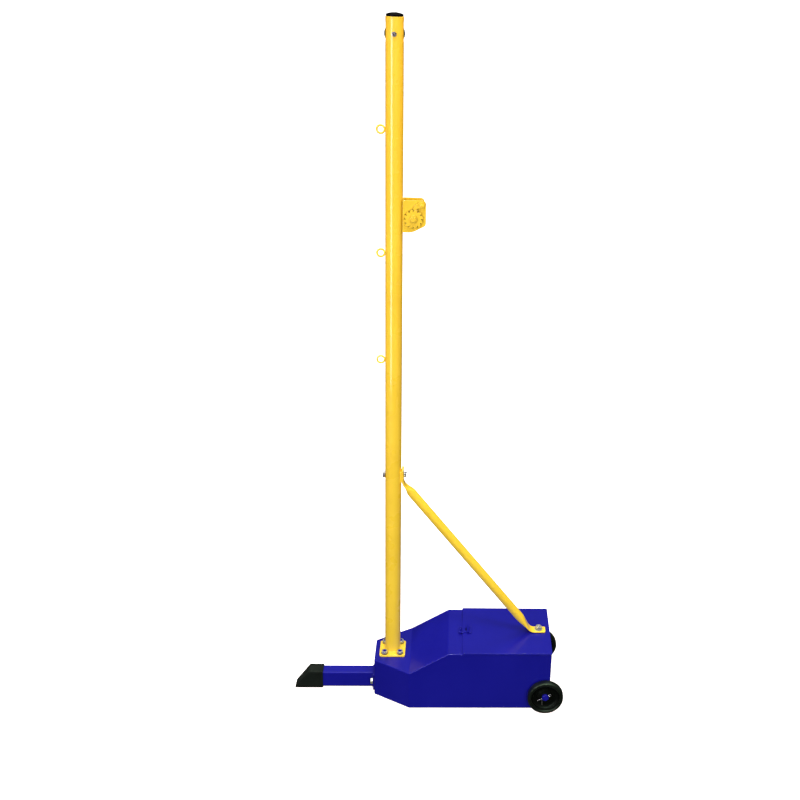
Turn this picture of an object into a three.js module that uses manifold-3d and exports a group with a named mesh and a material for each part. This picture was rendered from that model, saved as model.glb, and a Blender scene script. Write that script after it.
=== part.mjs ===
// Badminton net post: a round mast bolted to a ballast box with a stabiliser leg, a brace and two wheels.
// Millimetres, +Z up. The net hangs on the -X side of the mast and the box lies on the +X side.
// Places are measured from the mast's axis and the floor, and the whole post is shifted at the end so
// that its origin is the middle of its footprint.
import * as THREE from "three";
import { mergeVertices } from "three/addons/utils/BufferGeometryUtils.js";
import Module from "manifold-3d";

const wasm = await Module();
wasm.setup();

// Shared values
const gap = 0.3; // between pieces that touch
const overrun = 6; // how far a cutter runs past the faces it cuts
const weldMerge = 0.0005; // vertices closer than this are one
const wheelSides = 32;
const tubeSides = 28;
const ringSides = 18;
const rodSides = 14;
const wireSides = 8;
const pinSides = 6;
const cornerSteps = 3;
const toothSteps = 4;

// Mast
const postHeight = 1550;
const mastRadius = 17.5;
const mastWall = 2;
const mastHeadLength = 64; // the head is a length of the same tube, welded on
const capHeight = 7;
const capInset = 0.6;
const capCrown = 1.8;
const capStemLength = 8;

// Pulley in the mast's head
const pulleyDrop = 32; // from the tube's top edge to the pulley's axis
const pulleyRadius = 20;
const pulleyWidth = 8;
const pulleyRimWidth = 1;
const pulleyGrooveDepth = 4;
const pulleyGrooveFloor = 1.6;
const pulleySlotWidth = 10;
const pulleySlotRise = 24; // slot above the axis
const pulleySlotFall = 17; // slot below the axis
const pulleyBoltRadius = 3;
const pulleyBoltHeadRadius = 4.6;
const pulleyBoltHeadHeight = 3;
const pulleyNutFlats = 10;
const pulleyNutHeight = 5;

// Eyelets for the net's cords
const eyeletDrops = [224, 478, 714]; // from the post's top
const eyeletNames = ["eyelet_upper", "eyelet_middle", "eyelet_lower"];
const eyeletRadius = 7.9; // to the wire's centre
const eyeletWireRadius = 2.1;
const eyeletNeckRadius = 3.2;
const eyeletWeldRadius = 5.2;
const eyeletReach = 9.6; // from the mast's surface to the ring's centre

// Winch
const winchDrop = 430; // from the post's top to the bracket's bottom
const winchHeight = 67;
const winchDepth = 48; // from the mast's surface to the front cheek's edge
const winchWidth = 29; // over both cheeks
const winchSheet = 3;
const winchCornerRadius = 9;
const winchRearSetback = 4; // the rear cheek is this much shorter
const winchHeelLength = 20; // level stretch under the cheeks
const winchToeRise = 15; // slant under the cheeks
const drumAxisReach = 22.5; // from the mast's surface to the drum's axis
const drumAxisRise = 29.2; // above the bracket's bottom
const drumShaftRadius = 5;
const drumCoreRadius = 8;
const drumFlangeRadius = 15.5;
const drumFlangeThickness = 2;
const drumSideGap = 0.5;
const drumTailLength = 3; // shaft behind the rear cheek
const ratchetTeeth = 12;
const ratchetTipRadius = 20;
const ratchetRootRadius = 15.4;
const ratchetThickness = 4.5;
const ratchetFirstTipDegrees = 65; // from +X to the tooth beside the pawl
const ratchetFaceLeanDegrees = 2.5; // between a tip and its root
const ratchetHubFlats = 13;
const ratchetHubHeight = 5.5;
const drumTipLength = 1.5; // shaft in front of the ratchet's hub
const pawlPivotReach = 39.2; // from the mast's surface
const pawlPivotRise = 58.5; // above the bracket's bottom
const pawlHeadRadius = 6.8;
const pawlNoseGap = 1.2; // between the nose and the tooth's steep face, so that the pawl lifts freely
const pawlUndersideShares = [0.13, 0.3, 0.5, 0.7]; // of the tooth's back that the nose follows
const pawlBrowShare = 0.62; // of the tooth's depth, above the tooth's tip
const pawlCrestAcrossShare = 0.42;
const pawlCrestUpShare = 0.92;
const pawlThickness = 4;
const pawlPivotRadius = 3;
const pawlRivetHeadRadius = 4.6;
const pawlRivetHeadHeight = 2.6;
const winchScrewRadius = 3;
const winchScrewHeadRadius = 4.8;
const winchScrewHeadHeight = 3.2;
const winchScrewInset = 6.5; // from the bracket's bottom
const winchScrewDrop = 12; // from the bracket's top
const winchScrewReach = 6; // shank inside the tube's wall

// Ballast box
const boxBottom = 2;
const noseHeight = 95;
const boxHeight = 148;
const noseLength = 41; // from the mast's axis to the nose's end
const noseWidth = 82;
const bendReach = 43; // from the mast's axis to the side's bend
const slopeLength = 88;
const boxReach = 371; // from the mast's axis to the box's far end
const boxWidth = 186;
const boxSheet = 2.5;
const lidSetback = 33; // from the slope's top edge to the lid
const wellNearRim = 14; // from the lid's edge to the well
const wellSideRim = 11;
const wellFarRim = 41; // carries the brace's bolt
const wellCorner = 6;
const lidThickness = 3;
const lidOverhang = 1.2;
const lidCorner = 3;
const slabClearance = 4; // between the well's edge and a ballast slab
const slabHeight = 52;
const slabCorner = 4;
const slabNames = ["ballast_slab_lower", "ballast_slab_upper"];

// Hasp on the lid's edge
const haspWidth = 26;
const haspSheet = 2;
const haspLeafLength = 22;
const haspSlotLength = 5;
const haspSlotWidth = 15;
const haspSlotInset = 2.4; // from the leaf's free end
const haspCorner = 3;
const haspBarrelRadius = 2.8;
const haspPinRadius = 1.3;
const haspKnuckle = 11; // width of the leaf's own knuckle
const haspHingeWidth = 30;
const haspHingeLength = 8;
const haspAxisInset = 13.5; // from the lid's edge
const stapleWireRadius = 1.6;
const stapleHalfSpan = 5;
const stapleHeight = 12;
const staplePlateLength = 9;
const staplePlateWidth = 20;
const staplePlateThickness = 2;

// Mast foot
const plateSize = 60;
const plateThickness = 5;
const plateCorner = 5;
const weldLeg = 1.8;
const weldHeight = 3;
const studSpacingX = 36;
const studSpacingY = 43;
const studRadius = 4;
const studHeadRadius = 7;
const studHeadHeight = 3;
const studStandOff = 3; // stud above its nut
const washerRadius = 8;
const washerThickness = 1.6;
const nutFlats = 13;
const nutHeight = 6.5;
const boltHeadHeight = 5.3;
const boltHeadFlats = 13;

// Brace from the mast to the lid
const braceRadius = 9.5;
const braceFlatHalfWidth = 11.5;
const braceFlatThickness = 4;
const braceBoltDrop = 988.5; // from the post's top to the upper bolt
const braceTabRise = 17; // tab above the upper bolt
const braceTabFall = 19.5; // tab below the upper bolt
const braceBoltInset = 26; // from the box's far end to the lower bolt
const braceBoltSetback = 18.2; // from the lower bend to the lower bolt
const braceTabLength = 34.5;
const braceBendLength = 9;
const braceUpperTransition = 46;
const braceLowerTransition = 84;
const braceEndRound = 4;
const braceSides = 16;
const saddleHeight = 27;
const saddleWidth = 19;
const saddleThickness = 1.2; // at its thinnest, on the mast's crown
const wingHubRadius = 6;
const wingHubHeight = 4;
const wingSpan = 28;
const wingThickness = 2.5;
const wingRise = 6.5;
const wingRootRise = 1;
const upperBoltStandOff = 1.5;
const footWasherRadius = 10;
const footBoltHeadRadius = 8;
const footBoltHeadHeight = 3;

// Stabiliser leg
const legWidth = 30;
const legHeight = 40;
const legWall = 2;
const legCorner = 3;
const legBottom = 2.5;
const flangeThickness = 4;
const flangeWidth = 60;
const flangeHeight = 44;
const flangeBottom = 3;
const flangeCorner = 3;
const flangeBoltSpacing = 46.6;
const flangeBoltStandOff = 2;
const footReach = 231; // from the mast's axis to the foot's tip
const footLength = 67;
const footWidth = 34;
const footHeight = 45.5;
const footSlope = 34;
const footSocketDepth = 30;

// Wheels
const wheelRadius = 42;
const axleInset = 11; // from the box's far end to the axle
const tyreWidth = 19;
const tyreShoulder = 3.4;
const tyreCrownShare = 1.6; // of the shoulder, where the tread rounds over on the outer side
const tyreWall = 8;
const wheelSideGap = 1.4; // between the box and the tyre
const dishRadius = 28;
const webThickness = 3.5;
const webInset = 2.4;
const hubRadius = 18;
const hubInnerRadius = 17;
const axleRadius = 8;
const axleOverhang = 17; // from the box's side to the axle's end
const axleChamfer = 1;
const collarRadius = 12;
const collarThickness = 1.4;
const pinRadius = 1.5;
const pinSetback = 3.5; // from the axle's end to the split pin
const pinEyeRadius = 2.6;
const pinEyeWire = 1.1;
const pinLegRadius = 1;
const pinLegLength = 9;
const pinTiltDegrees = 30;
const pinSplayDegrees = 18;

const paint = {
  yellow: new THREE.MeshStandardMaterial({ color: 0xf4cf33, roughness: 0.32, metalness: 0.05 }),
  blue: new THREE.MeshStandardMaterial({ color: 0x2a2aa6, roughness: 0.38, metalness: 0.05 }),
  zinc: new THREE.MeshStandardMaterial({ color: 0xb9bcc0, roughness: 0.35, metalness: 0.9 }),
  plastic: new THREE.MeshStandardMaterial({ color: 0x141414, roughness: 0.45, metalness: 0 }),
  rubber: new THREE.MeshStandardMaterial({ color: 0x1d211f, roughness: 0.75, metalness: 0 }),
  iron: new THREE.MeshStandardMaterial({ color: 0x4a4a4a, roughness: 0.8, metalness: 0.6 }),
};

const post = new THREE.Group();

function place(name, geometry, material) {
  const mesh = new THREE.Mesh(geometry, material.clone());
  mesh.name = name;
  post.add(mesh);
}

// Booleans
function solidOf(geometry) {
  const bare = geometry.clone();
  bare.deleteAttribute("normal");
  bare.deleteAttribute("uv");
  const merged = mergeVertices(bare, weldMerge);
  const vertProperties = Float32Array.from(merged.attributes.position.array);
  const triVerts = Uint32Array.from(merged.index.array);
  return new wasm.Manifold(new wasm.Mesh({ numProp: 3, vertProperties, triVerts }));
}

function geometryOf(solid) {
  const mesh = solid.getMesh();
  const geometry = new THREE.BufferGeometry();
  geometry.setAttribute("position", new THREE.BufferAttribute(mesh.vertProperties, 3));
  geometry.setIndex(new THREE.BufferAttribute(mesh.triVerts, 1));
  geometry.computeVertexNormals();
  return geometry;
}

function combine(method, first, others) {
  return geometryOf(others.reduce((solid, other) => solid[method](solidOf(other)), solidOf(first)));
}

const join = (first, ...others) => combine("add", first, others);
const cut = (first, ...others) => combine("subtract", first, others);
const common = (first, ...others) => combine("intersect", first, others);

// Shapes
const unitX = new THREE.Vector3(1, 0, 0);
const unitY = new THREE.Vector3(0, 1, 0);
const unitZ = new THREE.Vector3(0, 0, 1);
const outlineFrames = {
  x: new THREE.Matrix4().makeBasis(unitY, unitZ, unitX),
  y: new THREE.Matrix4().makeBasis(unitX, unitZ, unitY.clone().negate()),
  z: new THREE.Matrix4(),
};

// An outline given thickness along an axis, between two places on it.
// The outline lies in (y, z) for axis x, in (x, z) for axis y and in (x, y) for axis z.
function prism(outline, axis, from, to) {
  const shape = Array.isArray(outline) ? new THREE.Shape(outline) : outline;
  const settings = { depth: to - from, bevelEnabled: false, curveSegments: cornerSteps };
  const geometry = new THREE.ExtrudeGeometry(shape, settings);
  geometry.applyMatrix4(outlineFrames[axis]);
  if (axis === "x") {
    return geometry.translate(from, 0, 0);
  }
  return axis === "y" ? geometry.translate(0, to, 0) : geometry.translate(0, 0, from);
}

function rod(radius, axis, from, to, centre, sides = rodSides) {
  const geometry = new THREE.CylinderGeometry(radius, radius, to - from, sides);
  geometry.translate(0, (from + to) / 2, 0);
  return turnTo(geometry, axis).translate(...centre);
}

// A profile of (radius, place along the axis) points turned round an axis.
function turned(profile, axis, centre, sides = rodSides) {
  const points = profile.map(([radius, along]) => new THREE.Vector2(radius, along));
  return turnTo(new THREE.LatheGeometry(points, sides), axis).translate(...centre);
}

// Turns a geometry made round Y so that it lies round another axis.
function turnTo(geometry, axis) {
  if (axis === "x") {
    geometry.rotateZ(-Math.PI / 2);
  }
  if (axis === "z") {
    geometry.rotateX(Math.PI / 2);
  }
  return geometry;
}

function ring(outer, inner, axis, from, to, centre, sides = rodSides) {
  const profile = [[inner, from], [outer, from], [outer, to], [inner, to], [inner, from]];
  return turned(profile, axis, centre, sides);
}

function roundedRectangle(width, height, radius, centreX = 0, centreY = 0) {
  const shape = new THREE.Shape();
  const right = centreX + width / 2 - radius;
  const left = centreX - width / 2 + radius;
  const top = centreY + height / 2 - radius;
  const bottom = centreY - height / 2 + radius;
  shape.absarc(right, bottom, radius, -Math.PI / 2, 0);
  shape.absarc(right, top, radius, 0, Math.PI / 2);
  shape.absarc(left, top, radius, Math.PI / 2, Math.PI);
  shape.absarc(left, bottom, radius, Math.PI, 1.5 * Math.PI);
  return shape;
}

function hexagon(flats, centreX = 0, centreY = 0) {
  const corner = flats / 2 / Math.cos(Math.PI / 6);
  return Array.from({ length: 6 }, (_, index) => {
    const angle = (index * Math.PI) / 3;
    return new THREE.Vector2(centreX + corner * Math.cos(angle), centreY + corner * Math.sin(angle));
  });
}

// The outline of a polygon given anticlockwise, drawn in by a distance.
function drawnIn(points, distance) {
  return points.map((point, index) => {
    const before = points[(index + points.length - 1) % points.length];
    const after = points[(index + 1) % points.length];
    const arriving = point.clone().sub(before).normalize();
    const leaving = after.clone().sub(point).normalize();
    const inwardBefore = new THREE.Vector2(-arriving.y, arriving.x);
    const inwardAfter = new THREE.Vector2(-leaving.y, leaving.x);
    const middle = inwardBefore.clone().add(inwardAfter);
    return point.clone().addScaledVector(middle, distance / (1 + inwardBefore.dot(inwardAfter)));
  });
}

const point = (x, y) => new THREE.Vector2(x, y);
const radians = (degrees) => THREE.MathUtils.degToRad(degrees);

// Heights and places that several pieces share
const noseTop = boxBottom + noseHeight;
const boxTop = boxBottom + boxHeight;
const lidBottom = boxTop + gap;
const lidTop = lidBottom + lidThickness;
const plateBottom = noseTop + gap;
const plateTop = plateBottom + plateThickness;
const mastFoot = plateTop + gap;
const mastTop = postHeight - capHeight - gap;
const pulleyHeight = mastTop - pulleyDrop;
const boltHole = studRadius + gap;
const boxSide = boxWidth / 2;
const lidStart = bendReach + slopeLength + lidSetback;
const well = {
  start: lidStart + wellNearRim,
  length: boxReach - wellFarRim - lidStart - wellNearRim,
  width: boxWidth - 2 * wellSideRim,
};
const braceBoltHeight = postHeight - braceBoltDrop;
const braceBoltReach = boxReach - braceBoltInset;
const wheelReach = boxReach - axleInset;
const flangeFace = -noseLength - gap - flangeThickness;
const flangeBoltHeight = flangeBottom + flangeHeight / 2;
const saddleFace = mastRadius + gap + saddleThickness;
const braceTabFace = saddleFace + gap + braceFlatThickness;
const tabTop = lidTop + gap + braceFlatThickness;
const studPlaces = [-1, 1].flatMap((sideX) => [-1, 1].map((sideY) => [
  (sideX * studSpacingX) / 2,
  (sideY * studSpacingY) / 2,
]));
const winchFace = mastRadius + gap;
const winchBottom = postHeight - winchDrop;
const drumAxis = { x: mastRadius + drumAxisReach, z: winchBottom + drumAxisRise };
const pawlPivot = { x: mastRadius + pawlPivotReach, z: winchBottom + pawlPivotRise };
const winchScrewHeights = [winchBottom + winchScrewInset, winchBottom + winchHeight - winchScrewDrop];

// Ballast box: a folded and welded sheet shell with a tapered nose, open on top under its lid
function makeBox() {
  const plan = [
    point(-noseLength, -noseWidth / 2),
    point(bendReach, -boxSide),
    point(boxReach, -boxSide),
    point(boxReach, boxSide),
    point(bendReach, boxSide),
    point(-noseLength, noseWidth / 2),
  ];
  const side = [
    point(-noseLength, boxBottom),
    point(boxReach, boxBottom),
    point(boxReach, boxTop),
    point(bendReach + slopeLength, boxTop),
    point(bendReach, noseTop),
    point(-noseLength, noseTop),
  ];
  const outside = common(prism(plan, "z", 0, boxTop + overrun), prism(side, "y", -boxWidth, boxWidth));
  const inside = common(
    prism(drawnIn(plan, boxSheet), "z", 0, boxTop + overrun),
    prism(drawnIn(side, boxSheet), "y", -boxWidth, boxWidth),
  );
  const wellOutline = roundedRectangle(well.length, well.width, wellCorner, well.start + well.length / 2, 0);
  const openings = [inside, prism(wellOutline, "z", boxTop - boxSheet - overrun, boxTop + overrun)];
  for (const [x, y] of studPlaces) {
    openings.push(rod(boltHole, "z", noseTop - overrun, noseTop + overrun, [x, y, 0]));
  }
  for (const side of [-1, 1]) {
    const centre = [0, (side * flangeBoltSpacing) / 2, flangeBoltHeight];
    openings.push(rod(boltHole, "x", -noseLength - overrun, -noseLength + overrun, centre));
  }
  const footBolt = [braceBoltReach, 0, 0];
  openings.push(rod(boltHole, "z", boxTop - overrun, boxTop + overrun, footBolt));
  const axle = [wheelReach, 0, wheelRadius];
  openings.push(rod(axleRadius + gap, "y", -boxWidth, boxWidth, axle));
  place("ballast_box", cut(outside, ...openings), paint.blue);
}

function makeLid() {
  const length = boxReach + lidOverhang - lidStart;
  const width = boxWidth + 2 * lidOverhang;
  const sheet = roundedRectangle(length, width, lidCorner, lidStart + length / 2, 0);
  const hole = rod(boltHole, "z", lidBottom - overrun, lidTop + overrun, [braceBoltReach, 0, 0]);
  place("box_lid", cut(prism(sheet, "z", lidBottom, lidTop), hole), paint.blue);
}

function makeBallast() {
  const length = well.length - 2 * slabClearance;
  const width = well.width - 2 * slabClearance;
  const outline = roundedRectangle(length, width, slabCorner, well.start + well.length / 2, 0);
  slabNames.forEach((name, index) => {
    const bottom = boxBottom + boxSheet + gap + index * (slabHeight + gap);
    place(name, prism(outline, "z", bottom, bottom + slabHeight), paint.iron);
  });
}

// Hasp: a slotted leaf hinged on the lid drops over a staple on the box
function makeHasp() {
  const axisX = lidStart + haspAxisInset;
  const axisZ = lidTop + gap + haspBarrelRadius;
  const axis = [axisX, 0, axisZ];
  const leafEnd = axisX - haspLeafLength;
  const leafBottom = lidTop + 2 * gap;
  const leafTop = leafBottom + haspSheet;
  const leafLength = haspLeafLength - haspBarrelRadius - gap;
  const leaf = roundedRectangle(leafLength, haspWidth, haspCorner, leafEnd + leafLength / 2, 0);
  const slotX = leafEnd + haspSlotInset + haspSlotLength / 2;
  const slot = roundedRectangle(haspSlotLength, haspSlotWidth, haspCorner / 2, slotX, 0);
  const tongueStart = slotX + haspSlotLength;
  const tongue = [
    point(tongueStart, leafBottom),
    point(axisX, leafBottom),
    point(axisX, leafTop),
    point(tongueStart, leafTop),
  ];
  const knuckle = haspKnuckle / 2;
  const leafSolid = cut(
    join(
      prism(leaf, "z", leafBottom, leafTop),
      prism(tongue, "y", -knuckle, knuckle),
      rod(haspBarrelRadius, "y", -knuckle, knuckle, axis),
    ),
    prism(slot, "z", leafBottom - overrun, leafTop + overrun),
    rod(haspPinRadius + gap, "y", -haspWidth, haspWidth, axis),
  );
  place("hasp_leaf", leafSolid, paint.blue);

  const baseEnd = axisX + haspHingeLength;
  const baseBottom = lidTop + gap;
  const base = (from, to) => prism([
    point(axisX, baseBottom),
    point(baseEnd, baseBottom),
    point(baseEnd, baseBottom + haspSheet),
    point(axisX, baseBottom + haspSheet),
  ], "y", from, to);
  const inner = knuckle + gap;
  const outer = haspHingeWidth / 2;
  const clearOfKnuckle = rod(haspBarrelRadius + gap, "y", -inner, inner, axis);
  const hinge = join(
    cut(base(-outer, outer), clearOfKnuckle),
    rod(haspBarrelRadius, "y", -outer, -inner, axis),
    rod(haspBarrelRadius, "y", inner, outer, axis),
    rod(haspPinRadius, "y", -outer, outer, axis),
  );
  place("hasp_hinge", hinge, paint.blue);

  const plateStart = lidStart - gap - staplePlateLength;
  const staplePlate = roundedRectangle(staplePlateLength, staplePlateWidth, haspCorner,
    plateStart + staplePlateLength / 2, 0);
  const legTop = boxTop + gap + stapleHeight - stapleHalfSpan - stapleWireRadius;
  const legBottom = boxTop + gap + staplePlateThickness / 2;
  const bow = new THREE.TorusGeometry(stapleHalfSpan, stapleWireRadius, wireSides, ringSides);
  bow.rotateY(Math.PI / 2).translate(slotX, 0, legTop);
  const aboveLegs = new THREE.BoxGeometry(haspWidth, haspWidth, haspWidth);
  aboveLegs.translate(slotX, 0, legTop + haspWidth / 2);
  const legs = [-stapleHalfSpan, stapleHalfSpan].map((y) => (
    rod(stapleWireRadius, "z", legBottom, legTop, [slotX, y, 0], wireSides)
  ));
  const platePrism = prism(staplePlate, "z", boxTop + gap, boxTop + gap + staplePlateThickness);
  place("hasp_staple", join(platePrism, common(bow, aboveLegs), ...legs), paint.blue);
}

// Mast tube with its bolt holes, and its head with the pulley's slots
function makeMast() {
  const through = [-mastRadius - overrun, mastRadius + overrun];
  const tubeEnd = mastTop - mastHeadLength - gap;
  const bore = mastRadius - mastWall;
  const tube = ring(mastRadius, bore, "z", mastFoot, tubeEnd, [0, 0, 0], tubeSides);
  const holes = [rod(boltHole, "x", ...through, [0, 0, braceBoltHeight])];
  for (const height of winchScrewHeights) {
    holes.push(rod(winchScrewRadius + gap, "x", 0, mastRadius + overrun, [0, 0, height]));
  }
  place("mast_tube", cut(tube, ...holes), paint.yellow);

  const head = ring(mastRadius, bore, "z", tubeEnd + gap, mastTop, [0, 0, 0], tubeSides);
  const slotHeight = pulleySlotRise + pulleySlotFall;
  const slotCentre = pulleyHeight + (pulleySlotRise - pulleySlotFall) / 2;
  const slot = roundedRectangle(pulleySlotWidth, slotHeight, pulleySlotWidth / 2 - gap, 0, slotCentre);
  const axleHole = rod(pulleyBoltRadius + gap, "y", ...through, [0, 0, pulleyHeight]);
  place("mast_head", cut(head, prism(slot, "x", ...through), axleHole), paint.yellow);

  const capRadius = mastRadius - capInset;
  const stemRadius = mastRadius - mastWall - gap;
  const crownStart = capHeight - capCrown;
  const profile = [
    [0, -capStemLength],
    [stemRadius, -capStemLength],
    [stemRadius, gap],
    [capRadius, gap],
    [capRadius, crownStart - capCrown / 2 + gap],
    [capRadius - capCrown, crownStart + capCrown / 2 + gap],
    [capRadius / 2, capHeight - capCrown / 4 + gap],
    [0, capHeight + gap],
  ];
  place("mast_cap", turned(profile, "z", [0, 0, mastTop], tubeSides), paint.plastic);
}

function makePulley() {
  const half = pulleyWidth / 2;
  const floor = pulleyRadius - pulleyGrooveDepth;
  const bore = pulleyBoltRadius + gap;
  const profile = [
    [bore, -half],
    [pulleyRadius, -half],
    [pulleyRadius, -half + pulleyRimWidth],
    [floor, -pulleyGrooveFloor / 2],
    [floor, pulleyGrooveFloor / 2],
    [pulleyRadius, half - pulleyRimWidth],
    [pulleyRadius, half],
    [bore, half],
    [bore, -half],
  ];
  const centre = [0, 0, pulleyHeight];
  place("pulley_sheave", turned(profile, "y", centre, tubeSides), paint.plastic);

  const seat = mastRadius + gap;
  const nutEnd = seat + pulleyNutHeight;
  const tip = nutEnd + pulleyBoltRadius / 2;
  const screw = [
    [0, -seat - pulleyBoltHeadHeight],
    [pulleyBoltHeadRadius / 2, -seat - pulleyBoltHeadHeight],
    [pulleyBoltHeadRadius, -seat - pulleyBoltHeadHeight / 2],
    [pulleyBoltHeadRadius, -seat],
    [pulleyBoltRadius, -seat],
    [pulleyBoltRadius, tip],
    [0, tip],
  ];
  place("pulley_axle_screw", turned(screw, "y", centre), paint.zinc);
  const nut = prism(hexagon(pulleyNutFlats, 0, pulleyHeight), "y", seat, nutEnd);
  const thread = rod(pulleyBoltRadius + gap, "y", 0, nutEnd + overrun, centre);
  place("pulley_axle_nut", cut(nut, thread), paint.zinc);
}

// Welded eyelets on the net side of the mast
function makeEyelets() {
  const ringX = -mastRadius - eyeletReach;
  const neckX = ringX + eyeletRadius - eyeletWireRadius / 2;
  eyeletNames.forEach((name, index) => {
    const height = postHeight - eyeletDrops[index];
    const eye = new THREE.TorusGeometry(eyeletRadius, eyeletWireRadius, wireSides, ringSides);
    eye.rotateX(Math.PI / 2).translate(ringX, 0, height);
    const neck = turned([
      [0, neckX],
      [eyeletNeckRadius, neckX],
      [eyeletNeckRadius, neckX + eyeletWireRadius],
      [eyeletWeldRadius, -mastRadius],
      [eyeletWeldRadius, -mastRadius + eyeletWireRadius],
      [0, -mastRadius + eyeletWireRadius],
    ], "x", [0, 0, height]);
    const mast = rod(mastRadius + gap, "z", height - mastRadius, height + mastRadius, [0, 0, 0], tubeSides);
    place(name, cut(join(eye, neck), mast), paint.yellow);
  });
}

function cheekOutline(setback) {
  const right = mastRadius + winchDepth - setback;
  const top = winchBottom + winchHeight;
  const outline = new THREE.Shape();
  outline.moveTo(winchFace, winchBottom);
  outline.lineTo(winchFace + winchHeelLength, winchBottom);
  outline.lineTo(right, winchBottom + winchToeRise);
  outline.absarc(right - winchCornerRadius, top - winchCornerRadius, winchCornerRadius, 0, Math.PI / 2);
  outline.lineTo(winchFace, top);
  return outline;
}

function makeWinchBracket() {
  const half = winchWidth / 2;
  const top = winchBottom + winchHeight;
  const web = [
    point(winchFace, winchBottom),
    point(winchFace + winchSheet, winchBottom),
    point(winchFace + winchSheet, top),
    point(winchFace, top),
  ];
  const body = join(
    prism(cheekOutline(0), "y", -half, -half + winchSheet),
    prism(cheekOutline(winchRearSetback), "y", half - winchSheet, half),
    prism(web, "y", -half, half),
  );
  const cutters = [
    rod(drumShaftRadius + gap, "y", -winchWidth, winchWidth, [drumAxis.x, 0, drumAxis.z]),
    rod(pawlPivotRadius + gap, "y", -winchWidth, 0, [pawlPivot.x, 0, pawlPivot.z]),
  ];
  for (const height of winchScrewHeights) {
    const ends = [winchFace - overrun, winchFace + winchSheet + overrun];
    cutters.push(rod(winchScrewRadius + gap, "x", ...ends, [0, 0, height]));
  }
  place("winch_bracket", cut(body, ...cutters), paint.yellow);

  const names = ["winch_screw_lower", "winch_screw_upper"];
  const seat = winchFace + winchSheet + gap;
  const screw = [
    [0, mastRadius - mastWall - winchScrewReach],
    [winchScrewRadius, mastRadius - mastWall - winchScrewReach],
    [winchScrewRadius, seat],
    [winchScrewHeadRadius, seat],
    [winchScrewHeadRadius, seat + winchScrewHeadHeight / 2],
    [winchScrewHeadRadius / 2, seat + winchScrewHeadHeight],
    [0, seat + winchScrewHeadHeight],
  ];
  names.forEach((name, index) => {
    place(name, turned(screw, "x", [0, 0, winchScrewHeights[index]]), paint.zinc);
  });
}

// The drum turns in the cheeks and carries the ratchet wheel in front of the front cheek
const ratchetBack = -winchWidth / 2 - gap;
const ratchetFront = ratchetBack - ratchetThickness;
const ratchetHubFront = ratchetFront - ratchetHubHeight;

function makeDrum() {
  const side = winchWidth / 2 - winchSheet - drumSideGap;
  const front = ratchetHubFront - drumTipLength;
  const back = winchWidth / 2 + drumTailLength;
  const chamfer = drumShaftRadius / 5;
  const profile = [
    [0, front],
    [drumShaftRadius - chamfer, front],
    [drumShaftRadius, front + chamfer],
    [drumShaftRadius, -side],
    [drumFlangeRadius, -side],
    [drumFlangeRadius, -side + drumFlangeThickness],
    [drumCoreRadius, -side + drumFlangeThickness],
    [drumCoreRadius, side - drumFlangeThickness],
    [drumFlangeRadius, side - drumFlangeThickness],
    [drumFlangeRadius, side],
    [drumShaftRadius, side],
    [drumShaftRadius, back],
    [0, back],
  ];
  place("winch_drum", turned(profile, "y", [drumAxis.x, 0, drumAxis.z], ringSides), paint.yellow);
}

// Ratchet teeth: a steep face on the clockwise side and a long rounded back on the other
const toothPitchDegrees = 360 / ratchetTeeth;
const toothDepth = ratchetTipRadius - ratchetRootRadius;
const toothBackDegrees = toothPitchDegrees - ratchetFaceLeanDegrees;
const backRadius = (share) => ratchetRootRadius + toothDepth * (1 - (1 - share) ** 2);

function aroundDrum(radius, degrees) {
  const angle = radians(degrees);
  return point(drumAxis.x + radius * Math.cos(angle), drumAxis.z + radius * Math.sin(angle));
}

function makeRatchet() {
  const outline = [];
  for (let tooth = 0; tooth < ratchetTeeth; tooth += 1) {
    const tip = ratchetFirstTipDegrees + tooth * toothPitchDegrees;
    for (let step = toothSteps; step >= 0; step -= 1) {
      const share = step / toothSteps;
      outline.push(aroundDrum(backRadius(share), tip + toothBackDegrees * (1 - share)));
    }
  }
  const hub = prism(hexagon(ratchetHubFlats, drumAxis.x, drumAxis.z), "y", ratchetHubFront, ratchetBack);
  const bore = rod(drumShaftRadius + gap, "y", -boxWidth, 0, [drumAxis.x, 0, drumAxis.z]);
  const wheel = prism(outline, "y", ratchetFront, ratchetBack);
  place("winch_ratchet", cut(join(wheel, hub), bore), paint.yellow);
}

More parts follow.
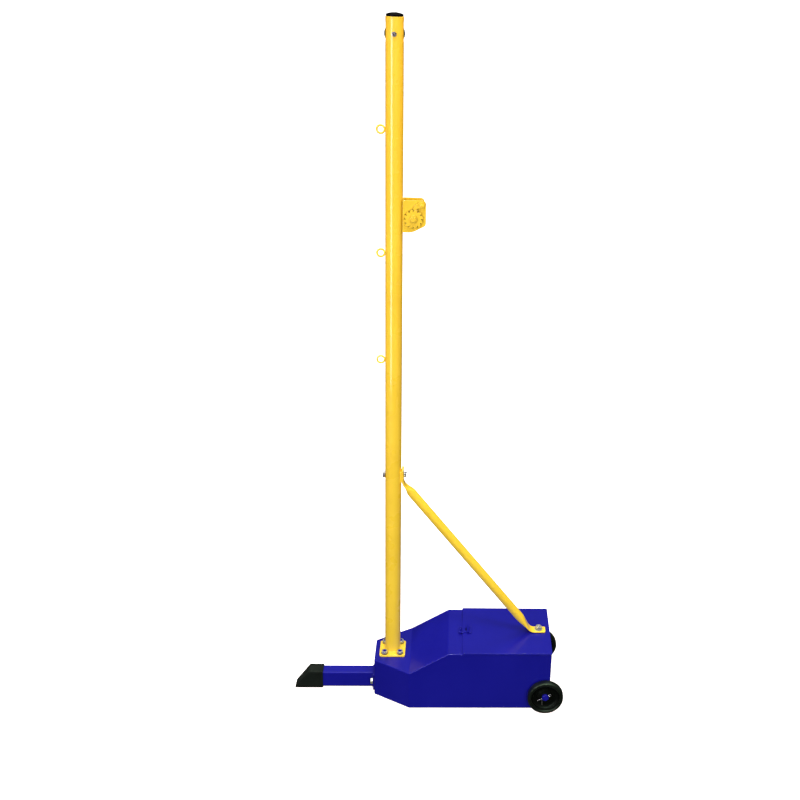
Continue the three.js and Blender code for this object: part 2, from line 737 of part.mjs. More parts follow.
// The pawl hangs from its rivet and drops its nose behind a tooth
function makePawl() {
  const faceTip = ratchetFirstTipDegrees + toothPitchDegrees;
  const clearance = 2 * gap;
  const overBack = (share) => (
    aroundDrum(backRadius(share) + clearance, faceTip - ratchetFaceLeanDegrees - toothBackDegrees * share)
  );
  const besideFace = (radius) => {
    const lean = (ratchetFaceLeanDegrees * Math.max(0, ratchetTipRadius - radius)) / toothDepth;
    return aroundDrum(radius, faceTip - lean - THREE.MathUtils.radToDeg(pawlNoseGap / radius));
  };
  const headTop = pawlPivot.z + pawlHeadRadius;
  const headBottom = pawlPivot.z - pawlHeadRadius;
  const brow = besideFace(ratchetTipRadius + pawlBrowShare * toothDepth);
  const noseEnd = besideFace(backRadius(pawlUndersideShares[0]) + 2 * clearance);
  const outline = new THREE.Shape();
  outline.moveTo(noseEnd.x, noseEnd.y);
  for (const share of pawlUndersideShares) {
    outline.lineTo(overBack(share).x, overBack(share).y);
  }
  outline.lineTo(overBack(1).x + clearance, headBottom);
  outline.absarc(pawlPivot.x, pawlPivot.z, pawlHeadRadius, -Math.PI / 2, Math.PI / 2);
  outline.quadraticCurveTo(
    THREE.MathUtils.lerp(brow.x, pawlPivot.x, pawlCrestAcrossShare),
    THREE.MathUtils.lerp(brow.y, headTop, pawlCrestUpShare),
    brow.x,
    brow.y,
  );
  const centre = [pawlPivot.x, 0, pawlPivot.z];
  const back = -winchWidth / 2 - gap;
  const front = back - pawlThickness;
  const plate = prism(outline, "y", front, back);
  const bore = rod(pawlPivotRadius + gap, "y", -winchWidth, 0, centre);
  place("winch_pawl", cut(plate, bore), paint.yellow);

  const inner = -winchWidth / 2 + winchSheet + gap;
  const outer = front - gap;
  const rivet = [
    [0, outer - pawlRivetHeadHeight],
    [pawlRivetHeadRadius / 2, outer - pawlRivetHeadHeight],
    [pawlRivetHeadRadius, outer - pawlRivetHeadHeight / 3],
    [pawlRivetHeadRadius, outer],
    [pawlPivotRadius, outer],
    [pawlPivotRadius, inner],
    [pawlRivetHeadRadius, inner],
    [pawlRivetHeadRadius, inner + pawlRivetHeadHeight / 3],
    [pawlRivetHeadRadius / 2, inner + pawlRivetHeadHeight],
    [0, inner + pawlRivetHeadHeight],
  ];
  place("winch_pawl_rivet", turned(rivet, "y", centre), paint.yellow);
}

// Mast foot: a welded plate held to the nose by four studs
function makeFootPlate() {
  const weldInner = mastRadius + gap;
  const weld = turned([
    [weldInner, plateTop - gap],
    [weldInner + weldLeg, plateTop - gap],
    [weldInner + weldLeg, plateTop],
    [weldInner + weldLeg / 6, plateTop + weldHeight],
    [weldInner, plateTop + weldHeight],
    [weldInner, plateTop - gap],
  ], "z", [0, 0, 0], tubeSides);
  const plate = prism(roundedRectangle(plateSize, plateSize, plateCorner), "z", plateBottom, plateTop);
  const holes = studPlaces.map(([x, y]) => (
    rod(boltHole, "z", plateBottom - overrun, plateTop + overrun, [x, y, 0])
  ));
  place("mast_base_plate", cut(join(plate, weld), ...holes), paint.yellow);

  const washerBottom = plateTop + gap;
  const nutBottom = washerBottom + washerThickness + gap;
  const nutTop = nutBottom + nutHeight;
  const sheetUnderside = noseTop - boxSheet;
  const stud = [
    [0, sheetUnderside - gap - studHeadHeight],
    [studHeadRadius, sheetUnderside - gap - studHeadHeight],
    [studHeadRadius, sheetUnderside - gap],
    [studRadius, sheetUnderside - gap],
    [studRadius, nutTop + studStandOff - studRadius / 4],
    [studRadius - studRadius / 4, nutTop + studStandOff],
    [0, nutTop + studStandOff],
  ];
  studPlaces.forEach(([x, y], index) => {
    const number = index + 1;
    const centre = [x, y, 0];
    place(`base_stud_${number}`, turned(stud, "z", centre), paint.blue);
    const washerEnds = [washerBottom, washerBottom + washerThickness];
    place(`base_washer_${number}`, ring(washerRadius, boltHole, "z", ...washerEnds, centre), paint.zinc);
    const nut = prism(hexagon(nutFlats, x, y), "z", nutBottom, nutTop);
    const thread = rod(boltHole, "z", nutBottom - overrun, nutTop + overrun, centre);
    place(`base_nut_${number}`, cut(nut, thread), paint.zinc);
  });
}

// Brace: a round tube pressed flat at both ends, bent to lie on the mast's saddle and on the lid
function makeBrace() {
  const tabX = braceTabFace - braceFlatThickness / 2;
  const tabZ = tabTop - braceFlatThickness / 2;
  const vertex = (x, z) => new THREE.Vector3(x, 0, z);
  const top = vertex(tabX, braceBoltHeight + braceTabRise);
  const upperBend = vertex(tabX, braceBoltHeight - braceTabFall);
  const lowerBend = vertex(braceBoltReach - braceBoltSetback, tabZ);
  const end = vertex(braceBoltReach - braceBoltSetback + braceTabLength, tabZ);
  const slant = lowerBend.clone().sub(upperBend).normalize();
  const upperStart = upperBend.clone().addScaledVector(unitZ, braceBendLength);
  const upperEnd = upperBend.clone().addScaledVector(slant, braceBendLength);
  const lowerStart = lowerBend.clone().addScaledVector(slant, -braceBendLength);
  const lowerEnd = lowerBend.clone().addScaledVector(unitX, braceBendLength);
  const flat = braceFlatThickness / 2;
  const stations = [];
  const add = (at, along, roundness, endShare = 1) => {
    const halfWidth = THREE.MathUtils.lerp(braceFlatHalfWidth, braceRadius, roundness);
    const rounding = braceEndRound * (1 - endShare);
    const halfThickness = THREE.MathUtils.lerp(flat, braceRadius, roundness);
    stations.push({ at, along: along.clone(), halfWidth: halfWidth - rounding, halfThickness });
  };
  const endTurns = [0, Math.PI / 6, Math.PI / 3, Math.PI / 2];
  const down = unitZ.clone().negate();
  for (const turn of endTurns) {
    const inset = braceEndRound * (1 - Math.cos(turn));
    add(top.clone().addScaledVector(down, inset), down, 0, Math.sin(turn));
  }
  const addBend = (from, corner, to) => {
    const bend = new THREE.QuadraticBezierCurve3(from, corner, to);
    for (let step = 0; step <= cornerSteps; step += 1) {
      add(bend.getPoint(step / cornerSteps), bend.getTangent(step / cornerSteps), 0);
    }
  };
  const transitionShares = [0.2, 0.4, 0.6, 0.8, 1];
  addBend(upperStart, upperBend, upperEnd);
  for (const share of transitionShares) {
    const at = upperEnd.clone().addScaledVector(slant, share * braceUpperTransition);
    add(at, slant, THREE.MathUtils.smoothstep(share, 0, 1));
  }
  for (const share of transitionShares.toReversed()) {
    const at = lowerStart.clone().addScaledVector(slant, -share * braceLowerTransition);
    add(at, slant, THREE.MathUtils.smoothstep(share, 0, 1));
  }
  addBend(lowerStart, lowerBend, lowerEnd);
  for (const turn of endTurns.toReversed()) {
    const inset = braceEndRound * (1 - Math.cos(turn));
    add(end.clone().addScaledVector(unitX, -inset), unitX, 0, Math.sin(turn));
  }
  const bar = loft(stations);
  const upperHole = rod(boltHole, "x", tabX - overrun, tabX + overrun, [0, 0, braceBoltHeight]);
  const lowerHole = rod(boltHole, "z", tabZ - overrun, tabZ + overrun, [braceBoltReach, 0, 0]);
  place("brace_tube", cut(bar, upperHole, lowerHole), paint.yellow);
}

// A closed skin over pressed-tube sections set square to a path in the XZ plane
function loft(stations) {
  const positions = [];
  for (const { at, along, halfWidth, halfThickness } of stations) {
    const across = new THREE.Vector3().crossVectors(along, unitY);
    for (let side = 0; side < braceSides; side += 1) {
      const angle = (2 * Math.PI * side) / braceSides;
      const straight = halfWidth - halfThickness;
      const lean = Math.abs(Math.sin(angle)) < weldMerge ? 0 : Math.sign(Math.sin(angle));
      const corner = at.clone();
      corner.addScaledVector(unitY, straight * lean + halfThickness * Math.sin(angle));
      corner.addScaledVector(across, halfThickness * Math.cos(angle));
      positions.push(...corner.toArray());
    }
  }
  const last = stations.length - 1;
  const caps = [stations[0], stations[last]].map(({ at }) => {
    positions.push(...at.toArray());
    return positions.length / 3 - 1;
  });
  const faces = [];
  for (let side = 0; side < braceSides; side += 1) {
    const next = (side + 1) % braceSides;
    for (let ringIndex = 0; ringIndex < last; ringIndex += 1) {
      const here = ringIndex * braceSides;
      const there = here + braceSides;
      faces.push(here + side, there + side, here + next, here + next, there + side, there + next);
    }
    faces.push(caps[0], side, next);
    faces.push(caps[1], last * braceSides + next, last * braceSides + side);
  }
  const geometry = new THREE.BufferGeometry();
  geometry.setAttribute("position", new THREE.Float32BufferAttribute(positions, 3));
  geometry.setIndex(faces);
  geometry.computeVertexNormals();
  return geometry;
}

function makeBraceFastenings() {
  const seatX = braceTabFace + gap;
  const headSeat = -mastRadius - gap;
  const boltCentre = [0, 0, braceBoltHeight];
  const saddleCentre = braceBoltHeight - braceTabFall / 5;
  const pad = prism(roundedRectangle(saddleWidth, saddleHeight, saddleThickness, 0, saddleCentre),
    "x", mastRadius / 2, saddleFace);
  const mast = rod(mastRadius + gap, "z", 0, mastTop, [0, 0, 0], tubeSides);
  const boltWay = rod(boltHole, "x", 0, saddleFace + overrun, boltCentre);
  place("brace_saddle", cut(pad, mast, boltWay), paint.yellow);

  const nutEnd = seatX + wingHubHeight;
  const shank = rod(studRadius, "x", headSeat - boltHeadHeight / 2, nutEnd + upperBoltStandOff, boltCentre);
  const head = prism(hexagon(boltHeadFlats, 0, braceBoltHeight), "x", headSeat - boltHeadHeight, headSeat);
  place("brace_bolt_upper", join(head, shank), paint.zinc);

  const wing = new THREE.Shape();
  wing.moveTo(seatX + wingRootRise, -wingHubRadius / 2);
  wing.lineTo(seatX + wingRootRise, wingHubRadius / 2);
  wing.quadraticCurveTo(seatX + wingRootRise, wingSpan / 2, seatX + wingRise, wingSpan / 2);
  wing.quadraticCurveTo(seatX + wingRise, wingHubRadius, nutEnd, wingHubRadius / 2);
  wing.lineTo(nutEnd, -wingHubRadius / 2);
  wing.quadraticCurveTo(seatX + wingRise, -wingHubRadius, seatX + wingRise, -wingSpan / 2);
  wing.quadraticCurveTo(seatX + wingRootRise, -wingSpan / 2, seatX + wingRootRise, -wingHubRadius / 2);
  const wingEnds = [braceBoltHeight - wingThickness / 2, braceBoltHeight + wingThickness / 2];
  const hub = rod(wingHubRadius, "x", seatX, nutEnd, boltCentre);
  const wingThread = rod(boltHole, "x", seatX - overrun, nutEnd + overrun, boltCentre);
  place("brace_wing_nut", cut(join(hub, prism(wing, "z", ...wingEnds)), wingThread), paint.zinc);

  const footCentre = [braceBoltReach, 0, 0];
  const washerBottom = tabTop + gap;
  const nutBottom = washerBottom + washerThickness + gap;
  const nutTop = nutBottom + nutHeight;
  const underside = boxTop - boxSheet - gap;
  const bolt = [
    [0, underside - footBoltHeadHeight],
    [footBoltHeadRadius / 2, underside - footBoltHeadHeight],
    [footBoltHeadRadius, underside - footBoltHeadHeight / 3],
    [footBoltHeadRadius, underside],
    [studRadius, underside],
    [studRadius, nutTop + upperBoltStandOff],
    [0, nutTop + upperBoltStandOff],
  ];
  place("brace_bolt_lower", turned(bolt, "z", footCentre), paint.zinc);
  const washerEnds = [washerBottom, washerBottom + washerThickness];
  place("brace_washer_lower", ring(footWasherRadius, boltHole, "z", ...washerEnds, footCentre), paint.zinc);
  const nut = prism(hexagon(nutFlats, braceBoltReach, 0), "z", nutBottom, nutTop);
  const thread = rod(boltHole, "z", nutBottom - overrun, nutTop + overrun, footCentre);
  place("brace_nut_lower", cut(nut, thread), paint.zinc);
}

// Stabiliser leg: a box-section tube welded to a flange and shod with a rubber foot
function makeLeg() {
  const legCentre = legBottom + legHeight / 2;
  const tubeStart = -footReach + footLength - footSocketDepth;
  const tubeEnd = flangeFace - gap;
  const outside = roundedRectangle(legWidth, legHeight, legCorner, 0, legCentre);
  const bore = roundedRectangle(legWidth - 2 * legWall, legHeight - 2 * legWall, legCorner - legWall, 0,
    legCentre);
  const hollow = prism(bore, "x", tubeStart - overrun, tubeEnd + overrun);
  place("leg_tube", cut(prism(outside, "x", tubeStart, tubeEnd), hollow), paint.blue);

  const flangeCentre = flangeBottom + flangeHeight / 2;
  const flange = roundedRectangle(flangeWidth, flangeHeight, flangeCorner, 0, flangeCentre);
  const boltPlaces = [-1, 1].map((side) => [0, (side * flangeBoltSpacing) / 2, flangeBoltHeight]);
  const holes = boltPlaces.map((centre) => (
    rod(boltHole, "x", flangeFace - overrun, -noseLength + overrun, centre)
  ));
  place("leg_flange", cut(prism(flange, "x", flangeFace, -noseLength - gap), ...holes), paint.blue);

  const headSeat = flangeFace - gap;
  const nutStart = -noseLength + boxSheet + gap;
  const nutEnd = nutStart + nutHeight;
  const names = ["front", "rear"];
  boltPlaces.forEach((centre, index) => {
    const side = names[index];
    const outline = hexagon(boltHeadFlats, centre[2], centre[1]).map(({ x, y }) => point(y, x));
    const head = prism(outline, "x", headSeat - boltHeadHeight, headSeat);
    const shank = rod(studRadius, "x", headSeat - boltHeadHeight / 2, nutEnd + flangeBoltStandOff, centre);
    place(`leg_bolt_${side}`, join(head, shank), paint.zinc);
    const thread = rod(boltHole, "x", nutStart - overrun, nutEnd + overrun, centre);
    place(`leg_nut_${side}`, cut(prism(outline, "x", nutStart, nutEnd), thread), paint.zinc);
  });

  const side = [
    point(-footReach, 0),
    point(-footReach + footLength, 0),
    point(-footReach + footLength, footHeight),
    point(-footReach + footSlope, footHeight),
  ];
  const shell = prism(side, "y", -footWidth / 2, footWidth / 2);
  const socketWidth = legWidth + 2 * gap;
  const socketHeight = legHeight + 2 * gap;
  const socketOutline = roundedRectangle(socketWidth, socketHeight, legCorner + gap, 0, legCentre);
  const socket = prism(socketOutline, "x", tubeStart - gap, -footReach + footLength + overrun);
  place("leg_foot", cut(shell, socket), paint.rubber);
}

// Axle through the box, with a wheel, collar and split pin at each end
function makeWheels() {
  const axleEnd = boxSide + axleOverhang;
  const axleCentre = [wheelReach, 0, wheelRadius];
  const axle = turned([
    [0, -axleEnd],
    [axleRadius - axleChamfer, -axleEnd],
    [axleRadius, -axleEnd + axleChamfer],
    [axleRadius, axleEnd - axleChamfer],
    [axleRadius - axleChamfer, axleEnd],
    [0, axleEnd],
  ], "y", axleCentre);
  const pinPlace = axleEnd - pinSetback;
  const collarEnd = boxSide + gap + collarThickness;
  const hubStart = collarEnd + gap;
  const hubEnd = pinPlace - pinRadius - gap;
  const tyreStart = boxSide + wheelSideGap;
  const tyreEnd = tyreStart + tyreWidth;
  const webStart = tyreStart + webInset;
  const webEnd = webStart + webThickness;
  const boreRadius = axleRadius + gap;
  const rimRadius = wheelRadius - tyreWall;
  const wheelProfile = [
    [boreRadius, hubStart],
    [hubInnerRadius, hubStart],
    [hubInnerRadius + webInset / 2, webStart],
    [rimRadius - webInset / 2, webStart],
    [rimRadius, tyreStart],
    [wheelRadius - tyreShoulder, tyreStart],
    [wheelRadius, tyreStart + tyreShoulder],
    [wheelRadius, tyreEnd - tyreCrownShare * tyreShoulder],
    [wheelRadius - tyreShoulder / 3, tyreEnd - tyreShoulder / 2],
    [wheelRadius - tyreShoulder, tyreEnd - tyreShoulder / 8],
    [rimRadius, tyreEnd],
    [dishRadius, webEnd],
    [hubRadius, webEnd],
    [hubRadius - webInset / 3, hubEnd],
    [boreRadius, hubEnd],
    [boreRadius, hubStart],
  ];
  const cutPins = [];
  const tilt = radians(pinTiltDegrees);
  for (const [side, name] of [[-1, "front"], [1, "rear"]]) {
    const outward = (profile) => profile.map(([radius, along]) => [radius, side * along]);
    const ordered = (profile) => (side > 0 ? outward(profile) : outward(profile).toReversed());
    const span = (from, to) => (side > 0 ? [from, to] : [-to, -from]);
    place(`wheel_${name}`, turned(ordered(wheelProfile), "y", axleCentre, wheelSides), paint.plastic);
    const collarSpan = span(boxSide + gap, collarEnd);
    const collar = ring(collarRadius, axleRadius + gap, "y", ...collarSpan, axleCentre);
    place(`axle_collar_${name}`, collar, paint.blue);
    place(`split_pin_${name}`, splitPin(side * pinPlace, tilt), paint.zinc);
    const bore = rod(pinRadius + gap, "x", -axleRadius - overrun, axleRadius + overrun, [0, 0, 0]);
    cutPins.push(bore.rotateY(-tilt).translate(wheelReach, side * pinPlace, wheelRadius));
  }
  place("wheel_axle", cut(axle, ...cutPins), paint.blue);
}

function splitPin(along, tilt) {
  const eyeX = axleRadius + gap + pinEyeRadius + pinEyeWire;
  const shank = rod(pinRadius, "x", -axleRadius - pinRadius, eyeX - pinEyeRadius, [0, 0, 0], pinSides * 2);
  const eye = new THREE.TorusGeometry(pinEyeRadius, pinEyeWire, pinSides, rodSides).rotateX(Math.PI / 2);
  eye.translate(eyeX, 0, 0);
  const legs = [-1, 1].map((side) => {
    const leg = rod(pinLegRadius, "x", -pinLegLength, 0, [0, 0, 0], pinSides);
    leg.rotateY(side * radians(pinSplayDegrees));
    return leg.translate(-axleRadius - pinRadius / 2, 0, (side * pinLegRadius) / 2);
  });
  const pin = join(shank, eye, ...legs);
  return pin.rotateY(-tilt).translate(wheelReach, along, wheelRadius);
}

makeBox();
makeLid();
makeBallast();
makeHasp();
makeMast();
makePulley();
makeEyelets();
makeWinchBracket();
makeDrum();
makeRatchet();
makePawl();
makeFootPlate();
makeBrace();
makeBraceFastenings();
makeLeg();
makeWheels();

const footprintMiddle = (wheelReach + wheelRadius - footReach) / 2;
post.position.x = -footprintMiddle;
post.updateMatrixWorld(true);

export default post;
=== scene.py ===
import math
import bmesh
import bpy
from mathutils import Matrix, Vector


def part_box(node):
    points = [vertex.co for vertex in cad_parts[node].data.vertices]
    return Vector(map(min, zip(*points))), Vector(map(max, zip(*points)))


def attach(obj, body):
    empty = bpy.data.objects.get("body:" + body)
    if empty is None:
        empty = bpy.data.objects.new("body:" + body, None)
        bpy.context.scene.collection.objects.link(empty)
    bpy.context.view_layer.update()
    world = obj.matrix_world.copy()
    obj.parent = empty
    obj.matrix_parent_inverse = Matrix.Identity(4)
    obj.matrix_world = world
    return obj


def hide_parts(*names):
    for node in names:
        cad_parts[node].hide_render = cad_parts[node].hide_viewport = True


# A badminton net post: yellow mast, winch and brace on a blue ballast box with a leg and two wheels.
# Each piece is drawn in millimetres from the mast's axis and then carried into the CAD frame.
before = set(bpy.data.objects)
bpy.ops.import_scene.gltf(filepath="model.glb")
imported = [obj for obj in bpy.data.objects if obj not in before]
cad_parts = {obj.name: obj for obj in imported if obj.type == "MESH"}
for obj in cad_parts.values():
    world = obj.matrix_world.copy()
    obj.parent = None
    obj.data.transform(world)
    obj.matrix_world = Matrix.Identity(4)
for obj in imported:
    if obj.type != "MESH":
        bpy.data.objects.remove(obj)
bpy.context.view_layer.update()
scene = bpy.context.scene

millimetre = 0.001
tubeLow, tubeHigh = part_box("mast_tube")
mastAxis = Vector(((tubeLow.x + tubeHigh.x) / 2, 0, 0))
toFrame = Matrix.Translation(mastAxis) @ Matrix.Scale(millimetre, 4)
planeOf = {
    "x": Matrix(((0, 0, 1, 0), (1, 0, 0, 0), (0, 1, 0, 0), (0, 0, 0, 1))),
    "y": Matrix(((1, 0, 0, 0), (0, 0, -1, 0), (0, 1, 0, 0), (0, 0, 0, 1))),
    "z": Matrix.Identity(4),
}


def reach(node):
    low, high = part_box(node)
    return (low - mastAxis) / millimetre, (high - mastAxis) / millimetre


def middle(node):
    low, high = reach(node)
    return (low + high) / 2


def along(axis, distance):
    return Vector([distance if name == axis else 0 for name in "xyz"])


def tidyMesh(mesh, merge=0.002):
    work = bmesh.new()
    work.from_mesh(mesh)
    bmesh.ops.remove_doubles(work, verts=work.verts, dist=merge)
    bmesh.ops.dissolve_degenerate(work, edges=work.edges, dist=merge / 2)
    bmesh.ops.recalc_face_normals(work, faces=work.faces)
    work.to_mesh(mesh)
    work.free()
    return mesh


def addObject(name, data):
    obj = bpy.data.objects.new(name, data)
    scene.collection.objects.link(obj)
    return obj


def pointsObject(name, verts, faces):
    mesh = bpy.data.meshes.new(name)
    mesh.from_pydata(verts, [], faces)
    return addObject(name, tidyMesh(mesh))


def evaluatedMesh(obj):
    bpy.context.view_layer.update()
    depsgraph = bpy.context.evaluated_depsgraph_get()
    return bpy.data.meshes.new_from_object(obj.evaluated_get(depsgraph), depsgraph=depsgraph)


def applied(obj):
    mesh = evaluatedMesh(obj)
    obj.modifiers.clear()
    obj.data = mesh
    return obj


def plainMesh(obj):
    # a curve becomes a mesh object of the same name
    name = obj.name
    mesh = tidyMesh(evaluatedMesh(obj))
    bpy.data.objects.remove(obj)
    return addObject(name, mesh)


def bent(start, corner, end, share):
    # a point of the curve from start to end that corner pulls towards itself
    return start * (1 - share) ** 2 + corner * 2 * share * (1 - share) + end * share ** 2


def softCorners(points, radius, steps=4, closed=True):
    out = []
    for index, spot in enumerate(points):
        size = radius[index] if isinstance(radius, list) else radius
        if size <= 0 or (not closed and index in (0, len(points) - 1)):
            out.append(tuple(spot))
            continue
        corner = Vector(spot)
        arriving = corner - Vector(points[index - 1])
        leaving = Vector(points[(index + 1) % len(points)]) - corner
        cutBack = min(size, arriving.length * 0.48, leaving.length * 0.48)
        start = corner - arriving.normalized() * cutBack
        end = corner + leaving.normalized() * cutBack
        out += [tuple(bent(start, corner, end, step / steps)) for step in range(steps + 1)]
    return out


def circle(radius, u=0, v=0, sides=40):
    turn = 2 * math.pi / sides
    return [(u + radius * math.cos(turn * i), v + radius * math.sin(turn * i)) for i in range(sides)]


def roundedRectangle(width, height, radius, u=0, v=0, steps=6):
    out = []
    for quarter, (sideU, sideV) in enumerate([(1, 1), (-1, 1), (-1, -1), (1, -1)]):
        centreU = u + sideU * (width / 2 - radius)
        centreV = v + sideV * (height / 2 - radius)
        for step in range(steps + 1):
            angle = (quarter + step / steps) * math.pi / 2
            out.append((centreU + radius * math.cos(angle), centreV + radius * math.sin(angle)))
    return out


def corners(left, bottom, right, top):
    return [(left, bottom), (right, bottom), (right, top), (left, top)]


def addSpline(curve, points, closed=True):
    spline = curve.splines.new("POLY")
    spline.points.add(len(points) - 1)
    for spot, place in zip(spline.points, points):
        spot.co = (*place, 1)
    spline.use_cyclic_u = closed


def plate(name, outlines, axis, start, end, edge=0.4, steps=2):
    # closed outlines, the first outside and the rest holes, with eased edges
    curve = bpy.data.curves.new(name, "CURVE")
    curve.dimensions = "2D"
    curve.fill_mode = "BOTH"
    curve.extrude = (end - start) / 2 - edge
    curve.bevel_depth = edge
    curve.bevel_resolution = steps
    curve.offset = -edge
    for outline in outlines:
        addSpline(curve, [(u, v, 0) for u, v in outline])
    obj = plainMesh(addObject(name, curve))
    obj.data.transform(Matrix.Translation(along(axis, (start + end) / 2)) @ planeOf[axis])
    return obj


def block(name, outline, axis, start, end):
    # a plain prism, for cutting and for crossing with another
    count = len(outline)
    verts = [planeOf[axis] @ Vector((u, v, 0)) + along(axis, place) for place in (start, end) for u, v in outline]
    faces = [list(range(count)), list(range(2 * count - 1, count - 1, -1))]
    faces += [[i, (i + 1) % count, count + (i + 1) % count, count + i] for i in range(count)]
    return pointsObject(name, verts, faces)


def drill(radius, u, v, axis, start, end, sides=40):
    return block("drill", circle(radius, u, v, sides), axis, start, end)


def turned(name, profile, axis, centre=(0, 0, 0), sides=48, closed=False, twist=None):
    # a profile of (radius, place along the axis) turned round an axis; twist changes a radius by its angle
    turnings = {
        "x": lambda r, a, p: (p, r * math.cos(a), r * math.sin(a)),
        "y": lambda r, a, p: (r * math.sin(a), p, r * math.cos(a)),
        "z": lambda r, a, p: (r * math.cos(a), r * math.sin(a), p),
    }
    verts, rings = [], []
    for radius, place in profile:
        count = 1 if radius < 1e-6 else sides
        rings.append((len(verts), count))
        for side in range(count):
            angle = 2 * math.pi * side / sides
            size = radius + (twist(radius, place, angle) if twist and count > 1 else 0)
            verts.append(Vector(turnings[axis](size, angle, place)) + Vector(centre))
    faces = []
    pairs = list(zip(rings, rings[1:])) + ([(rings[-1], rings[0])] if closed else [])
    for (first, firstCount), (second, secondCount) in pairs:
        for side in range(sides):
            after = (side + 1) % sides
            if firstCount > 1 and secondCount > 1:
                faces.append([first + side, first + after, second + after, second + side])
            elif firstCount > 1:
                faces.append([first + side, first + after, second])
            elif secondCount > 1:
                faces.append([first, second + after, second + side])
    return pointsObject(name, verts, faces)


def lathed(name, profile, easing, axis, centre=(0, 0, 0), sides=48, steps=3):
    # an open profile, eased at its corners and then turned
    return turned(name, softCorners(profile, easing, steps, closed=False), axis, centre, sides)


def wire(name, points, radius, roundness=4):
    # round wire through points
    curve = bpy.data.curves.new(name, "CURVE")
    curve.dimensions = "3D"
    curve.bevel_depth = radius
    curve.bevel_resolution = roundness
    curve.use_fill_caps = True
    addSpline(curve, points, closed=False)
    return plainMesh(addObject(name, curve))


def combined(obj, others, operation="DIFFERENCE", crossing=False):
    # crossing is for a mesh whose own shells run into each other
    for other in others:
        step = obj.modifiers.new("combine", "BOOLEAN")
        step.operation = operation
        step.solver = "EXACT"
        step.use_self = crossing
        step.object = other
    applied(obj)
    for other in others:
        bpy.data.objects.remove(other)
    return obj


def joined(obj, *others):
    # several closed shells as one piece
    work = bmesh.new()
    for part in (obj, *others):
        work.from_mesh(part.data)
    work.to_mesh(obj.data)
    work.free()
    for other in others:
        bpy.data.objects.remove(other)
    return obj


def placing(spot, *turns):
    # turns are (degrees, axis), and the last one is done first
    matrix = Matrix.Translation(spot)
    for degrees, axis in turns:
        matrix = matrix @ Matrix.Rotation(math.radians(degrees), 4, axis)
    return matrix


def placed(obj, spot, *turns):
    obj.data.transform(placing(spot, *turns))
    return obj


def eased(obj, width, segments, angle):
    step = obj.modifiers.new("ease", "BEVEL")
    step.width = width
    step.segments = segments
    step.limit_method = "ANGLE"
    step.angle_limit = math.radians(angle)
    return applied(obj)


def thread(screw):
    # a radius that follows a screw's crests, for turned()
    radius, pitch, depth = screw["radius"], screw["pitch"], screw["depth"]

    def crest(size, place, angle):
        phase = (place / pitch + angle / (2 * math.pi)) % 1
        return -depth * abs(2 * phase - 1) if abs(size - radius) < 1e-3 else 0
    return crest


def threadStations(screw, start, end, perTurn=6):
    count = max(2, int(abs(end - start) / screw["pitch"] * perTurn))
    return [(screw["radius"], start + (end - start) * i / count) for i in range(count + 1)]


def shank(screw, axis, start, threadStart, end, centre, sides):
    # a screw without its head
    radius, tip = screw["radius"], screw["tip"]
    profile = [(0, start), (radius, start), (radius, threadStart)]
    profile += threadStations(screw, threadStart, end - tip) + [(radius - tip, end), (0, end)]
    return turned("shank", profile, axis, centre, sides, twist=thread(screw))


def hexOutline(flats, u=0, v=0):
    corner = flats / 2 / math.cos(math.pi / 6)
    return [(u + corner * math.cos(i * math.pi / 3), v + corner * math.sin(i * math.pi / 3)) for i in range(6)]


# the rounded faces of a hexagon and the countersink of its bore
hexagon = {"faceShare": 0.95, "fallAngle": 30, "fallShare": 0.6, "clear": 0.1, "overrun": 1.0, "mouthWider": 0.8,
           "mouthDepth": 0.3, "mouthEnd": 1.1}


def hexagonal(name, flats, height, bore=0):
    # a chamfered hexagon standing on z = 0, as a nut or, without a bore, a bolt's head
    corner = flats / 2 / math.cos(math.pi / 6)
    face = flats / 2 * hexagon["faceShare"]
    fall = (corner - face) * math.tan(math.radians(hexagon["fallAngle"]))
    wide, over = corner + hexagon["clear"], hexagon["overrun"]
    barrel = [(0, 0), (face, 0), (wide, fall * hexagon["fallShare"]), (wide, height - fall), (face, height),
              (0, height)]
    body = block(name, hexOutline(flats), "z", -over, height + over)
    combined(body, [turned("barrel", barrel, "z", sides=60)], "INTERSECT")
    if bore:
        wider, depth = hexagon["mouthWider"], hexagon["mouthDepth"]
        mouth = bore + wider
        hole = [(0, -over), (mouth, -over), (mouth, depth), (bore, depth + wider), (bore, height - hexagon["mouthEnd"]),
                (mouth, height - depth), (mouth, height + over), (0, height + over)]
        combined(body, [turned("bore", hole, "z", sides=32)])
    return body


def ringed(name, outer, inner, start, end, axis, centre=(0, 0, 0), edge=0.3, sides=48):
    profile = softCorners(corners(inner, start, outer, end), edge, 2)
    return turned(name, profile, axis, centre, sides, closed=True)


def nodeTree(name, inputs):
    tree = bpy.data.node_groups.new(name, "GeometryNodeTree")
    tree.interface.new_socket("Geometry", in_out="INPUT", socket_type="NodeSocketGeometry")
    tree.interface.new_socket("Geometry", in_out="OUTPUT", socket_type="NodeSocketGeometry")
    for label, kind in inputs:
        tree.interface.new_socket(label, in_out="INPUT", socket_type="NodeSocket" + kind)
    return tree, tree.nodes.new("NodeGroupInput"), tree.nodes.new("NodeGroupOutput")


def node(tree, kind, links=None, **settings):
    made = tree.nodes.new(kind)
    for name, value in settings.items():
        setattr(made, name, value)
    for name, source in (links or {}).items():
        if isinstance(source, bpy.types.NodeSocket):
            tree.links.new(source, made.inputs[name])
        else:
            made.inputs[name].default_value = source
    return made


def arithmetic(tree, operation, first, second):
    return node(tree, "ShaderNodeMath", {0: first, 1: second}, operation=operation).outputs[0]


